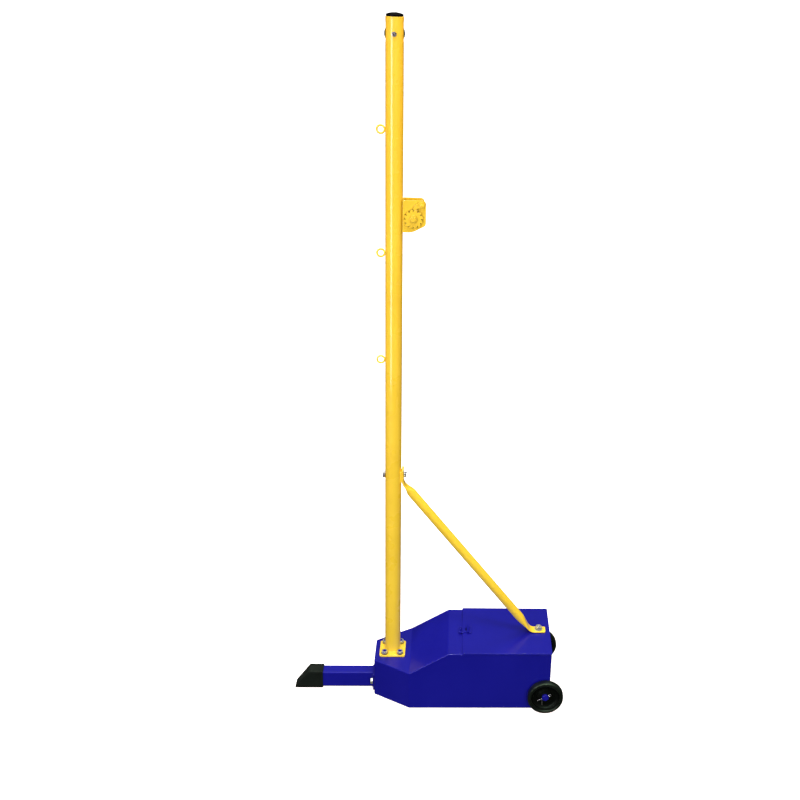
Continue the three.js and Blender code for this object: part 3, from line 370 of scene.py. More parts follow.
def endTree(tree, group, output, geometry, merge=False):
    last = node(tree, "GeometryNodeRealizeInstances", {"Geometry": geometry}).outputs[0]
    if merge:
        last = node(tree, "GeometryNodeMergeByDistance", {"Geometry": last, "Distance": 0.01}).outputs[0]
    last = node(tree, "GeometryNodeSetMaterial", {"Geometry": last, "Material": group.outputs["Material"]}).outputs[0]
    tree.links.new(last, output.inputs["Geometry"])


def grown(obj, tree, values):
    # runs a tree on an object and leaves the result as the object's plain mesh
    step = obj.modifiers.new("grow", "NODES")
    step.node_group = tree
    for item in tree.interface.items_tree:
        if item.item_type == "SOCKET" and item.in_out == "INPUT" and item.name in values:
            step[item.identifier] = values[item.name]
    name = obj.name
    mesh = evaluatedMesh(obj)
    obj.modifiers.clear()
    bpy.data.objects.remove(obj)
    return addObject(name, mesh)


def fastenerGridTree():
    tree, group, output = nodeTree("fastenerGrid", [
        ("Fastener", "Object"), ("Spacing X", "Float"), ("Spacing Y", "Float"), ("Turn", "Float"),
        ("Seed", "Int"), ("Material", "Material")])
    grid = node(tree, "GeometryNodeMeshGrid", {
        "Size X": group.outputs["Spacing X"], "Size Y": group.outputs["Spacing Y"], "Vertices X": 2, "Vertices Y": 2})
    shape = node(tree, "GeometryNodeObjectInfo", {"Object": group.outputs["Fastener"]})
    spin = node(tree, "FunctionNodeRandomValue", {"Seed": group.outputs["Seed"]}, data_type="FLOAT")
    tree.links.new(group.outputs["Turn"], spin.inputs[3])
    turn = node(tree, "ShaderNodeCombineXYZ", {"Z": spin.outputs[1]})
    copies = node(tree, "GeometryNodeInstanceOnPoints", {
        "Points": grid.outputs["Mesh"], "Instance": shape.outputs["Geometry"], "Rotation": turn.outputs[0]})
    endTree(tree, group, output, copies.outputs[0])
    return tree


def eyeletRowTree():
    tree, group, output = nodeTree("eyeletRow", [
        ("Ring Radius", "Float"), ("Wire Radius", "Float"), ("Neck Radius", "Float"), ("Weld Radius", "Float"),
        ("Neck Length", "Float"), ("Neck Start", "Float"), ("Material", "Material")])
    ringCurve = node(tree, "GeometryNodeCurvePrimitiveCircle", {
        "Resolution": 48, "Radius": group.outputs["Ring Radius"]})
    wireCurve = node(tree, "GeometryNodeCurvePrimitiveCircle", {
        "Resolution": 18, "Radius": group.outputs["Wire Radius"]})
    ring = node(tree, "GeometryNodeCurveToMesh", {
        "Curve": ringCurve.outputs["Curve"], "Profile Curve": wireCurve.outputs["Curve"]})
    upright = node(tree, "GeometryNodeTransform", {
        "Geometry": ring.outputs[0], "Rotation": (math.pi / 2, 0, 0)})
    neck = node(tree, "GeometryNodeMeshCone", {
        "Vertices": 32, "Side Segments": 6, "Radius Top": group.outputs["Weld Radius"],
        "Radius Bottom": group.outputs["Neck Radius"], "Depth": group.outputs["Neck Length"]})
    shift = node(tree, "ShaderNodeCombineXYZ", {"X": group.outputs["Neck Start"]})
    across = node(tree, "GeometryNodeTransform", {
        "Geometry": neck.outputs["Mesh"], "Rotation": (0, math.pi / 2, 0), "Translation": shift.outputs[0]})
    both = node(tree, "GeometryNodeJoinGeometry")
    tree.links.new(across.outputs[0], both.inputs[0])
    tree.links.new(upright.outputs[0], both.inputs[0])
    copies = node(tree, "GeometryNodeInstanceOnPoints", {
        "Points": group.outputs["Geometry"], "Instance": both.outputs[0]})
    endTree(tree, group, output, copies.outputs[0])
    return tree


def weldBeadTree():
    # overlapping scales along a curve, as a hand-laid bead
    tree, group, output = nodeTree("weldBead", [
        ("Pitch", "Float"), ("Width", "Float"), ("Height", "Float"), ("Unevenness", "Float"), ("Seed", "Int"),
        ("Material", "Material")])
    path = node(tree, "GeometryNodeResampleCurve", {
        "Curve": group.outputs["Geometry"], "Length": group.outputs["Pitch"]}, mode="LENGTH")
    heading = node(tree, "GeometryNodeInputTangent")
    facing = node(tree, "FunctionNodeAlignEulerToVector", {"Vector": heading.outputs[0]}, axis="X")
    drop = node(tree, "GeometryNodeMeshUVSphere", {"Segments": 14, "Rings": 9, "Radius": 1.0})
    length = arithmetic(tree, "MULTIPLY", group.outputs["Pitch"], 1.25)  # each scale overlaps the next
    vary = node(tree, "FunctionNodeRandomValue", {"Seed": group.outputs["Seed"]}, data_type="FLOAT")
    tree.links.new(arithmetic(tree, "SUBTRACT", 1.0, group.outputs["Unevenness"]), vary.inputs[2])
    vary.inputs[3].default_value = 1.0
    size = node(tree, "ShaderNodeCombineXYZ", {
        "X": length, "Y": group.outputs["Width"], "Z": group.outputs["Height"]})
    scaled = node(tree, "ShaderNodeVectorMath", {0: size.outputs[0]}, operation="SCALE")
    tree.links.new(vary.outputs[1], scaled.inputs["Scale"])
    copies = node(tree, "GeometryNodeInstanceOnPoints", {
        "Points": path.outputs[0], "Instance": drop.outputs["Mesh"], "Rotation": facing.outputs[0],
        "Scale": scaled.outputs[0]})
    endTree(tree, group, output, copies.outputs[0])
    return tree


def toothRingTree():
    tree, group, output = nodeTree("toothRing", [
        ("Tooth", "Object"), ("Teeth", "Int"), ("Axle", "Vector"), ("Material", "Material")])
    spots = node(tree, "GeometryNodeMeshLine", {
        "Count": group.outputs["Teeth"], "Start Location": group.outputs["Axle"], "Offset": (0, 0, 0)})
    number = node(tree, "GeometryNodeInputIndex")
    whole = arithmetic(tree, "DIVIDE", 2 * math.pi, group.outputs["Teeth"])
    turn = arithmetic(tree, "MULTIPLY", number.outputs[0], whole)
    rotation = node(tree, "ShaderNodeCombineXYZ", {"Y": turn})
    shape = node(tree, "GeometryNodeObjectInfo", {"Object": group.outputs["Tooth"]})
    copies = node(tree, "GeometryNodeInstanceOnPoints", {
        "Points": spots.outputs["Mesh"], "Instance": shape.outputs["Geometry"], "Rotation": rotation.outputs[0]})
    endTree(tree, group, output, copies.outputs[0], merge=True)
    return tree


fastenerGrid = fastenerGridTree()
eyeletRow = eyeletRowTree()
weldBead = weldBeadTree()
toothRing = toothRingTree()
print("node trees ready")


def startMaterial(name):
    material = bpy.data.materials.new(name)
    material.use_nodes = True
    tree = material.node_tree
    place = tree.nodes.new("ShaderNodeTexCoord").outputs["Object"]
    return material, tree, tree.nodes["Principled BSDF"], place


def noise(tree, place, scale, detail=2.0, stretch=(1, 1, 1)):
    spot = node(tree, "ShaderNodeMapping", {"Vector": place, "Scale": stretch}).outputs[0]
    return node(tree, "ShaderNodeTexNoise", {"Vector": spot, "Scale": scale, "Detail": detail}).outputs["Fac"]


def spread(tree, value, low, high, fromLow=0.35, fromHigh=0.65):
    return node(tree, "ShaderNodeMapRange", {
        "Value": value, "From Min": fromLow, "From Max": fromHigh, "To Min": low, "To Max": high}).outputs[0]


def mixColour(tree, share, first, second):
    made = node(tree, "ShaderNodeMix", data_type="RGBA")
    for index, source in ((0, share), (6, first), (7, second)):
        if isinstance(source, bpy.types.NodeSocket):
            tree.links.new(source, made.inputs[index])
        else:
            made.inputs[index].default_value = (*source, 1) if index else source
    return made.outputs[2]


def edgeHighlightMask(tree, radius):
    # nearly 1 on sharp edges, where paint is thin and rubs first, and where a lighter colour is also painted as an edge
    # highlight
    soft = node(tree, "ShaderNodeBevel", {"Radius": radius}, samples=4)
    flat = node(tree, "ShaderNodeNewGeometry")
    match = node(tree, "ShaderNodeVectorMath", {
        0: soft.outputs[0], 1: flat.outputs["Normal"]}, operation="DOT_PRODUCT")
    return spread(tree, match.outputs["Value"], 1.0, 0.0, 0.80, 0.985)


def addBump(tree, shader, layers):
    previous = None
    for height, strength, distance in layers:
        links = {"Height": height, "Strength": strength, "Distance": distance}
        if previous is not None:
            links["Normal"] = previous
        previous = node(tree, "ShaderNodeBump", links).outputs[0]
    tree.links.new(previous, shader.inputs["Normal"])


# noise scales are per metre, bump depths and the rubbed edge with its painted highlight are in metres
paintGrain = {
    "grimeScale": 34, "grimeFrom": 0.58, "grimeTo": 0.78, "rubAndHighlightScale": 120, "rubAndHighlightEdge": 0.0009, "scuffScale": 60,
    "scuffStretch": (1, 1, 0.08), "scuffFrom": 0.6, "scuffTo": 0.75, "glossScale": 22, "peelDepth": 0.00012,
    "waveScale": 55, "waveDepth": 0.0006, "dentScale": 9, "dentDepth": 0.004, "paintedShadeFrom": 0.25, "paintedShadeTo": 0.75,
}


def powderPaint(name, look):
    material, tree, shader, place = startMaterial(name)
    cloud = spread(tree, noise(tree, place, look["cloudScale"], 3), 0, 1)
    colour = mixColour(tree, cloud, look["deep"], look["light"])
    grime = noise(tree, place, paintGrain["grimeScale"], 5)
    grime = spread(tree, grime, 0, look["dust"], paintGrain["grimeFrom"], paintGrain["grimeTo"])
    colour = mixColour(tree, grime, colour, look["dustColour"])
    patches = spread(tree, noise(tree, place, paintGrain["rubAndHighlightScale"], 3), 0, 1)
    # sharp edges turn lighter in patches: partly rubbed paint, partly a painted edge highlight
    rubAndHighlight = arithmetic(tree, "MULTIPLY", edgeHighlightMask(tree, paintGrain["rubAndHighlightEdge"]), patches)
    colour = mixColour(tree, arithmetic(tree, "MULTIPLY", rubAndHighlight, look["rubAndHighlight"]), colour, look["rubAndHighlightColour"])
    # painted shade: the paint turns dark brown where ambient occlusion finds surfaces close by, in crevices, tooth
    # notches and gaps between parts
    if look["paintedCreviceShade"]:
        near = node(tree, "ShaderNodeAmbientOcclusion", {"Distance": look["paintedShadeReach"]}, samples=16).outputs["AO"]
        near = spread(tree, near, look["paintedCreviceShade"], 0.0, paintGrain["paintedShadeFrom"], paintGrain["paintedShadeTo"])
        colour = mixColour(tree, near, colour, look["paintedShadeColour"])
    tree.links.new(colour, shader.inputs["Base Color"])
    scuff = noise(tree, place, paintGrain["scuffScale"], 4, paintGrain["scuffStretch"])
    scuff = spread(tree, scuff, 0, look["scuff"], paintGrain["scuffFrom"], paintGrain["scuffTo"])
    gloss = spread(tree, noise(tree, place, paintGrain["glossScale"], 3), look["roughLow"], look["roughHigh"])
    tree.links.new(arithmetic(tree, "ADD", gloss, scuff), shader.inputs["Roughness"])
    shader.inputs["Coat Weight"].default_value = look["coat"]
    shader.inputs["Coat Roughness"].default_value = look["coatRoughness"]
    shader.inputs["Specular IOR Level"].default_value = look["specular"]
    peel = noise(tree, place, look["peelScale"], 1)
    wave = noise(tree, place, paintGrain["waveScale"], 1)
    dent = noise(tree, place, paintGrain["dentScale"], 1)
    addBump(tree, shader, [
        (peel, look["peel"], paintGrain["peelDepth"]), (wave, look["wave"], paintGrain["waveDepth"]),
        (dent, look["dent"], paintGrain["dentDepth"])])
    return material


zincGrain = {"patchScale": 260, "glossScale": 420, "roughLow": 0.2, "roughHigh": 0.42, "scale": 1500, "strength": 0.2,
             "depth": 0.00008}


def zincPlate(name, look):
    material, tree, shader, place = startMaterial(name)
    patch = spread(tree, noise(tree, place, zincGrain["patchScale"], 4), 0, 1)
    tree.links.new(mixColour(tree, patch, look["cool"], look["warm"]), shader.inputs["Base Color"])
    shader.inputs["Metallic"].default_value = look["metal"]
    gloss = noise(tree, place, zincGrain["glossScale"], 3)
    gloss = spread(tree, gloss, zincGrain["roughLow"], zincGrain["roughHigh"])
    tree.links.new(gloss, shader.inputs["Roughness"])
    addBump(tree, shader, [(noise(tree, place, zincGrain["scale"], 2), zincGrain["strength"], zincGrain["depth"])])
    return material


plasticGrain = {"cloudScale": 45, "dustScale": 160, "dustFrom": 0.5, "dustTo": 0.8, "glossScale": 90, "depth": 0.0002,
                "broadScale": 75, "broad": 0.12, "broadDepth": 0.0006}


def mouldedPlastic(name, look):
    material, tree, shader, place = startMaterial(name)
    cloud = spread(tree, noise(tree, place, plasticGrain["cloudScale"], 4), 0, 1)
    colour = mixColour(tree, cloud, look["deep"], look["light"])
    dust = noise(tree, place, plasticGrain["dustScale"], 5)
    dust = spread(tree, dust, 0, look["dust"], plasticGrain["dustFrom"], plasticGrain["dustTo"])
    tree.links.new(mixColour(tree, dust, colour, look["dustColour"]), shader.inputs["Base Color"])
    gloss = spread(tree, noise(tree, place, plasticGrain["glossScale"], 3), look["roughLow"], look["roughHigh"])
    tree.links.new(gloss, shader.inputs["Roughness"])
    shader.inputs["Specular IOR Level"].default_value = look["specular"]
    shader.inputs["Specular Tint"].default_value = (*look["glint"], 1)
    grain = noise(tree, place, look["grainScale"], 2)
    broad = noise(tree, place, plasticGrain["broadScale"], 2)
    addBump(tree, shader, [
        (grain, look["grain"], plasticGrain["depth"]), (broad, plasticGrain["broad"], plasticGrain["broadDepth"])])
    return material


ironGrain = {"rustScale": 38, "rustMost": 0.75, "rustFrom": 0.5, "rustTo": 0.72, "metal": 0.45, "roughLow": 0.55,
             "roughHigh": 0.9, "sandScale": 330, "sand": 0.6, "sandDepth": 0.0006, "lumpScale": 40, "lump": 0.3,
             "lumpDepth": 0.001}


def castIron(name, look):
    material, tree, shader, place = startMaterial(name)
    rust = noise(tree, place, ironGrain["rustScale"], 6)
    rust = spread(tree, rust, 0, ironGrain["rustMost"], ironGrain["rustFrom"], ironGrain["rustTo"])
    tree.links.new(mixColour(tree, rust, look["iron"], look["rust"]), shader.inputs["Base Color"])
    shader.inputs["Metallic"].default_value = ironGrain["metal"]
    gloss = spread(tree, rust, ironGrain["roughLow"], ironGrain["roughHigh"], 0, ironGrain["rustMost"])
    tree.links.new(gloss, shader.inputs["Roughness"])
    sand = noise(tree, place, ironGrain["sandScale"], 5)
    lump = noise(tree, place, ironGrain["lumpScale"], 3)
    addBump(tree, shader, [
        (sand, ironGrain["sand"], ironGrain["sandDepth"]), (lump, ironGrain["lump"], ironGrain["lumpDepth"])])
    return material


yellowLook = {
    "deep": (0.88, 0.635, 0.040), "light": (0.93, 0.69, 0.050), "cloudScale": 7.0,
    "dust": 0.03, "dustColour": (0.74, 0.54, 0.10), "rubAndHighlight": 0.30, "rubAndHighlightColour": (0.97, 0.78, 0.20),
    "scuff": 0.08, "roughLow": 0.24, "roughHigh": 0.33, "coat": 0.8, "coatRoughness": 0.06, "specular": 0.4,
    "peelScale": 620.0, "peel": 0.16, "wave": 0.08, "dent": 0.0, "paintedCreviceShade": 0.0,
}
# a copy of the yellow paint made darker all over as painted shade on the winch, with less coat and with painted shade
# in its crevices
shadedWinchLook = {
    **yellowLook, "deep": (0.80, 0.57, 0.034), "light": (0.86, 0.63, 0.044), "coat": 0.6,
    "paintedCreviceShade": 0.95, "paintedShadeReach": 0.009, "paintedShadeColour": (0.08, 0.045, 0.004),
}
blueLook = {
    "deep": (0.0060, 0.0064, 0.240), "light": (0.0081, 0.0086, 0.276), "cloudScale": 5.0,
    "dust": 0.08, "dustColour": (0.020, 0.020, 0.30), "rubAndHighlight": 0.40, "rubAndHighlightColour": (0.035, 0.036, 0.46),
    "scuff": 0.10, "roughLow": 0.32, "roughHigh": 0.42, "coat": 0.34, "coatRoughness": 0.09, "specular": 0.08,
    "peelScale": 620.0, "peel": 0.20, "wave": 0.10, "dent": 0.25, "paintedCreviceShade": 0.0,
}
capLook = {
    "deep": (0.0022, 0.0022, 0.0024), "light": (0.0040, 0.0040, 0.0044), "dust": 0.04,
    "dustColour": (0.02, 0.02, 0.022), "roughLow": 0.20, "roughHigh": 0.30, "specular": 0.035,
    "glint": (0.86, 0.92, 1.0), "grainScale": 1400.0, "grain": 0.08,
}
hubLook = {
    "deep": (0.0014, 0.0018, 0.0015), "light": (0.0026, 0.0034, 0.0028), "dust": 0.06,
    "dustColour": (0.012, 0.017, 0.013), "roughLow": 0.34, "roughHigh": 0.46, "specular": 0.18,
    "glint": (0.66, 1.0, 0.72), "grainScale": 1100.0, "grain": 0.30,
}
tyreLook = {
    "deep": (0.0018, 0.0024, 0.0019), "light": (0.0032, 0.0043, 0.0034), "dust": 0.10,
    "dustColour": (0.014, 0.021, 0.015), "roughLow": 0.30, "roughHigh": 0.42, "specular": 0.72,
    "glint": (0.66, 1.0, 0.66), "grainScale": 760.0, "grain": 0.40,
}
footLook = {
    "deep": (0.0040, 0.0062, 0.0044), "light": (0.0064, 0.0094, 0.0070), "dust": 0.10,
    "dustColour": (0.016, 0.022, 0.017), "roughLow": 0.55, "roughHigh": 0.72, "specular": 0.24,
    "glint": (0.8, 1.0, 0.84), "grainScale": 800.0, "grain": 0.50,
}
yellowPaint = powderPaint("yellow_powder_paint", yellowLook)
shadedWinchPaint = powderPaint("winch_powder_paint", shadedWinchLook)
bluePaint = powderPaint("blue_powder_paint", blueLook)
zinc = zincPlate("bright_zinc", {"metal": 1.0, "cool": (0.60, 0.62, 0.66), "warm": (0.72, 0.70, 0.64)})
# grey zinc with a green tint, which is a painted reflection of the surroundings
zincWithGreenReflection = zincPlate("aged_zinc", {"metal": 0.7, "cool": (0.46, 0.52, 0.42), "warm": (0.68, 0.68, 0.58)})
washerZinc = zincPlate("washer_zinc", {"metal": 0.9, "cool": (0.20, 0.19, 0.12), "warm": (0.34, 0.31, 0.20)})
capPlastic = mouldedPlastic("cap_plastic", capLook)
hubPlastic = mouldedPlastic("hub_plastic", hubLook)
tyreRubber = mouldedPlastic("tyre_rubber", tyreLook)
footRubber = mouldedPlastic("foot_rubber", footLook)
slabIron = castIron("slab_iron", {"iron": (0.045, 0.045, 0.048), "rust": (0.11, 0.045, 0.018)})
print("finishes ready")


def setPiece(obj, material, body, slotName, *nodes, angle=32):
    # the last step for every piece: shading, place in the frame, finish and body
    mesh = obj.data
    mesh.materials.clear()
    mesh.materials.append(material)
    mesh.polygons.foreach_set("material_index", [0] * len(mesh.polygons))
    mesh.polygons.foreach_set("use_smooth", [True] * len(mesh.polygons))
    mesh.set_sharp_from_angle(angle=math.radians(angle))
    step = obj.modifiers.new("weigh", "WEIGHTED_NORMAL")
    step.keep_sharp = True
    applied(obj)
    obj.data.transform(toFrame)
    obj.data.update()
    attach(obj, body)
    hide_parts(*nodes)
    return obj


# the two screw sizes, M8 and M6, with the holes that are drilled for them
boltThread = {"radius": 4.0, "pitch": 1.25, "depth": 0.62, "tip": 0.9, "hole": 4.3, "nutBore": 4.15, "flats": 13.0}
screwThread = {"radius": 3.0, "pitch": 1.0, "depth": 0.5, "tip": 0.6, "hole": 3.3, "nutBore": 3.15}
mast = {
    "wall": 2.0, "sides": 96, "rimEase": 0.7, "endEase": 0.3, "overrun": 5.0,
    "fuller": 0.6,  # drawn over the stock radius, as the photographed tube is wider than stock towards its foot
    "bandDrop": 3.2, "bandHalf": 0.5, "bandDepth": 0.35, "bandEase": 0.2,
    "slotWidth": 10.0, "slotRise": 24.0, "slotFall": 17.0, "slotCorner": 4.7,
}
mastRadius = reach("mast_tube")[1].x + mast["fuller"]
mastTop = reach("mast_head")[1].z
winchScrews = ("winch_screw_lower", "winch_screw_upper")


def makeMast():
    low, high = reach("mast_tube")
    bore = high.x - mast["wall"]
    band, half = mastTop - mast["bandDrop"], mast["bandHalf"]
    profile = [(bore, low.z), (mastRadius, low.z), (mastRadius, band - half), (mastRadius - mast["bandDepth"], band),
               (mastRadius, band + half), (mastRadius, mastTop), (bore, mastTop)]
    end, groove = mast["endEase"], mast["bandEase"]
    easing = [end, end, groove, groove, groove, mast["rimEase"], end]
    tube = turned("mastTube", softCorners(profile, easing, 3), "z", sides=mast["sides"], closed=True)
    pulley = middle("pulley_sheave")
    slotMiddle = pulley.z + (mast["slotRise"] - mast["slotFall"]) / 2
    slotHeight = mast["slotRise"] + mast["slotFall"]
    slot = roundedRectangle(mast["slotWidth"], slotHeight, mast["slotCorner"], 0, slotMiddle)
    beyond = mastRadius + mast["overrun"]
    cutters = [
        block("slot", slot, "x", -beyond, beyond),
        drill(screwThread["hole"], 0, pulley.z, "y", -beyond, beyond),
        drill(boltThread["hole"], 0, middle("brace_bolt_upper").z, "x", -beyond, beyond)]
    cutters += [drill(screwThread["hole"], 0, middle(name).z, "x", 0, beyond) for name in winchScrews]
    combined(tube, cutters)
    setPiece(tube, yellowPaint, "post", "yellow_paint", "mast_tube", "mast_head")


cap = {"crown": 3.2, "lipEase": 0.9, "rimEase": 0.5, "domeSteps": 12, "seatGap": 0.3, "stemInset": 1.7, "lead": 1.2,
       "leadRise": 1.5, "leadEase": 0.4, "seatEase": 0.2}


def makeCap():
    low, high = reach("mast_cap")
    stem = high.x - cap["stemInset"]
    seat = mastTop + cap["seatGap"]
    crown = cap["crown"]
    profile = [(0, low.z), (stem - cap["lead"], low.z), (stem, low.z + cap["leadRise"]), (stem, seat), (high.x, seat),
               (high.x, high.z - crown)]
    easing = [0, cap["leadEase"], cap["leadEase"], cap["seatEase"], cap["lipEase"], cap["rimEase"]]
    for step in range(1, cap["domeSteps"] + 1):
        share = 1 - step / cap["domeSteps"]
        profile.append((high.x * share, high.z - crown * share ** 2))
        easing.append(0)
    obj = lathed("mastCap", profile, easing, "z", sides=72, steps=4)
    setPiece(obj, capPlastic, "post", "black_plastic", "mast_cap")


pulleyWheel = {
    "grooveFloor": 16.0, "grooveHalf": 1.2, "grooveEase": 1.2, "rimWidth": 1.0, "rimEase": 0.45, "hub": 6.0,
    "dishStart": 6.6, "dishEnd": 14.2, "rimStart": 14.8, "dishDepth": 1.0, "ease": 0.3,
    "holes": 5, "holeRadius": 2.6, "holeCircle": 9.8, "overrun": 2.0,
}
pulleyScrew = {"headFlats": 9.2, "headTurn": 18, "threadLength": 7.0, "nutFlats": 10.0}
sink = 0.5  # how far a shank starts inside its head


def makePulley():
    low, high = reach("pulley_sheave")
    centre = (low + high) / 2
    radius = (high.x - low.x) / 2
    half = (high.y - low.y) / 2
    dish = half - pulleyWheel["dishDepth"]
    side = [(screwThread["hole"], half), (pulleyWheel["hub"], half), (pulleyWheel["dishStart"], dish),
            (pulleyWheel["dishEnd"], dish), (pulleyWheel["rimStart"], half), (radius, half),
            (radius, half - pulleyWheel["rimWidth"]), (pulleyWheel["grooveFloor"], pulleyWheel["grooveHalf"])]
    profile = [(r, -y) for r, y in side] + side[::-1]
    easing = [pulleyWheel["ease"]] * 5 + [pulleyWheel["rimEase"]] * 2 + [pulleyWheel["grooveEase"]]
    obj = turned("pulleySheave", softCorners(profile, easing + easing[::-1], 3), "y", centre, 72, closed=True)
    beyond = half + pulleyWheel["overrun"]
    cutters = []
    for index in range(pulleyWheel["holes"]):
        angle = 2 * math.pi * index / pulleyWheel["holes"]
        u = centre.x + pulleyWheel["holeCircle"] * math.cos(angle)
        v = centre.z + pulleyWheel["holeCircle"] * math.sin(angle)
        cutters.append(drill(pulleyWheel["holeRadius"], u, v, "y", -beyond, beyond, 24))
    combined(obj, cutters)
    setPiece(obj, capPlastic, "pulley", "black_plastic", "pulley_sheave")

    low, high = reach("pulley_axle_screw")
    seat = -reach("mast_head")[1].y - mast["fuller"]
    head = hexagonal("pulleyScrew", pulleyScrew["headFlats"], seat - low.y)
    placed(head, (centre.x, seat, centre.z), (90, "X"), (pulleyScrew["headTurn"], "Z"))
    threadStart = high.y - pulleyScrew["threadLength"]
    joined(head, shank(screwThread, "y", seat - sink, threadStart, high.y, (centre.x, 0, centre.z), 24))
    setPiece(head, zinc, "post", "zinc", "pulley_axle_screw")

    low, high = reach("pulley_axle_nut")
    nut = hexagonal("pulleyNut", pulleyScrew["nutFlats"], high.y - low.y, screwThread["nutBore"])
    placed(nut, (centre.x, low.y, centre.z), (-90, "X"))
    setPiece(nut, zinc, "post", "zinc", "pulley_axle_nut")


eyelets = {"ringRadius": 7.9, "wireRadius": 2.1, "neckRadius": 2.7, "weldRadius": 5.0, "weldSink": 0.4, "margin": 30.0}


def makeEyelets():
    names = ["eyelet_upper", "eyelet_middle", "eyelet_lower"]
    ringRadius, wireRadius = eyelets["ringRadius"], eyelets["wireRadius"]
    ringX = reach(names[0])[0].x + ringRadius + wireRadius
    neckStart = ringRadius - wireRadius / 2
    neckEnd = -reach("mast_tube")[1].x + eyelets["weldSink"] - ringX
    spots = bpy.data.meshes.new("eyelets")
    spots.from_pydata([(ringX, 0, middle(name).z) for name in names], [], [])
    obj = grown(addObject("netEyelets", spots), eyeletRow, {
        "Ring Radius": ringRadius, "Wire Radius": wireRadius, "Neck Radius": eyelets["neckRadius"],
        "Weld Radius": eyelets["weldRadius"], "Neck Length": neckEnd - neckStart, "Neck Start": neckStart,
        "Material": yellowPaint})
    tidyMesh(obj.data)
    low = reach(names[2])[0].z - eyelets["margin"]
    high = reach(names[0])[1].z + eyelets["margin"]
    combined(obj, [mastSpace(low, high)], crossing=True)
    setPiece(obj, yellowPaint, "post", "yellow_paint", *names, angle=45)


def mastSpace(low, high):
    # what the mast fills, to be cut from the pieces that sit against it
    return turned("mastSpace", corners(0, low, mastRadius, high), "z", sides=mast["sides"])


makeMast()
makeCap()
makePulley()
makeEyelets()
print("mast, cap, pulley and eyelets made")


winch = {
    "sheet": 3.0, "corner": 9.0, "rearSetback": 4.0, "heel": 20.0, "toeRise": 15.0, "edge": 0.7, "shaftHole": 5.3,
    "footEase": 1.5, "heelEase": 9.0, "toeEase": 5.0, "headEase": 1.0, "webEase": 1.2,
}
winchScrew = {"headHeight": 3.2, "head": 4.8, "headSide": 1.8, "crown": 3.9, "tip": 2.2, "tipRise": 0.6, "key": 4.0,
              "keyDepth": 2.0}


def cheekOutline(low, high, setback):
    right = high.x - setback
    points = [(low.x, low.z), (low.x + winch["heel"], low.z), (right, low.z + winch["toeRise"]), (right, high.z),
              (low.x, high.z)]
    easing = [winch["footEase"], winch["heelEase"], winch["toeEase"], winch["corner"], winch["headEase"]]
    return softCorners(points, easing, 8)


def makeWinchBracket():
    low, high = reach("winch_bracket")
    drum = middle("winch_drum")
    rivet = middle("winch_pawl_rivet")
    sheet, edge = winch["sheet"], winch["edge"]
    shaftHole = circle(winch["shaftHole"], drum.x, drum.z)
    rivetHole = circle(screwThread["hole"], rivet.x, rivet.z)
    frontCheek = [cheekOutline(low, high, 0), shaftHole, rivetHole]
    rearCheek = [cheekOutline(low, high, winch["rearSetback"]), shaftHole]
    front = plate("winchBracket", frontCheek, "y", low.y, low.y + sheet, edge, 3)
    rear = plate("rear", rearCheek, "y", high.y - sheet, high.y, edge, 3)
    webHoles = [circle(screwThread["hole"], 0, middle(name).z, 28) for name in winchScrews]
    start, end = low.y + sheet / 2, high.y - sheet / 2
    web = softCorners(corners(start, low.z, end, high.z), winch["webEase"], 3)
    joined(front, rear, plate("web", [web, *webHoles], "x", low.x, low.x + sheet, edge, 3))
    setPiece(front, shadedWinchPaint, "post", "yellow_paint", "winch_bracket", angle=40)

    for name, piece in zip(winchScrews, ("winchScrewLower", "winchScrewUpper")):
        low, high = reach(name)
        spot = (low + high) / 2
        seat = high.x - winchScrew["headHeight"]
        radius, head = screwThread["radius"], winchScrew["head"]
        top = [(radius, seat - sink), (radius, seat), (head, seat), (head, seat + winchScrew["headSide"]),
               (winchScrew["crown"], high.x), (0, high.x)]
        profile = [(0, low.x), (winchScrew["tip"], low.x)]
        profile += threadStations(screwThread, low.x + winchScrew["tipRise"], seat - sink)
        profile += softCorners(top, [0, 0, 0.2, 0.7, 0.6, 0], 3, closed=False)[1:]
        screw = turned(piece, profile, "x", (0, spot.y, spot.z), 32, twist=thread(screwThread))
        key = hexOutline(winchScrew["key"], spot.y, spot.z)
        combined(screw, [block("key", key, "x", high.x - winchScrew["keyDepth"], high.x + winchScrew["keyDepth"])])
        setPiece(screw, zinc, "post", "zinc", name)


winchDrum = {
    "shaft": 5.0, "core": 8.0, "flange": 15.5, "flangeSheet": 2.0, "sideGap": 0.5, "frontChamfer": 1.0,
    "rearChamfer": 0.8, "ease": 0.3, "seatEase": 0.2, "flangeEase": 0.6, "coreEase": 1.2,
    "keyWidth": 3.2, "keyLength": 9.0, "keyCorner": 1.5, "keyDepth": 0.7, "overrun": 2.0,
}


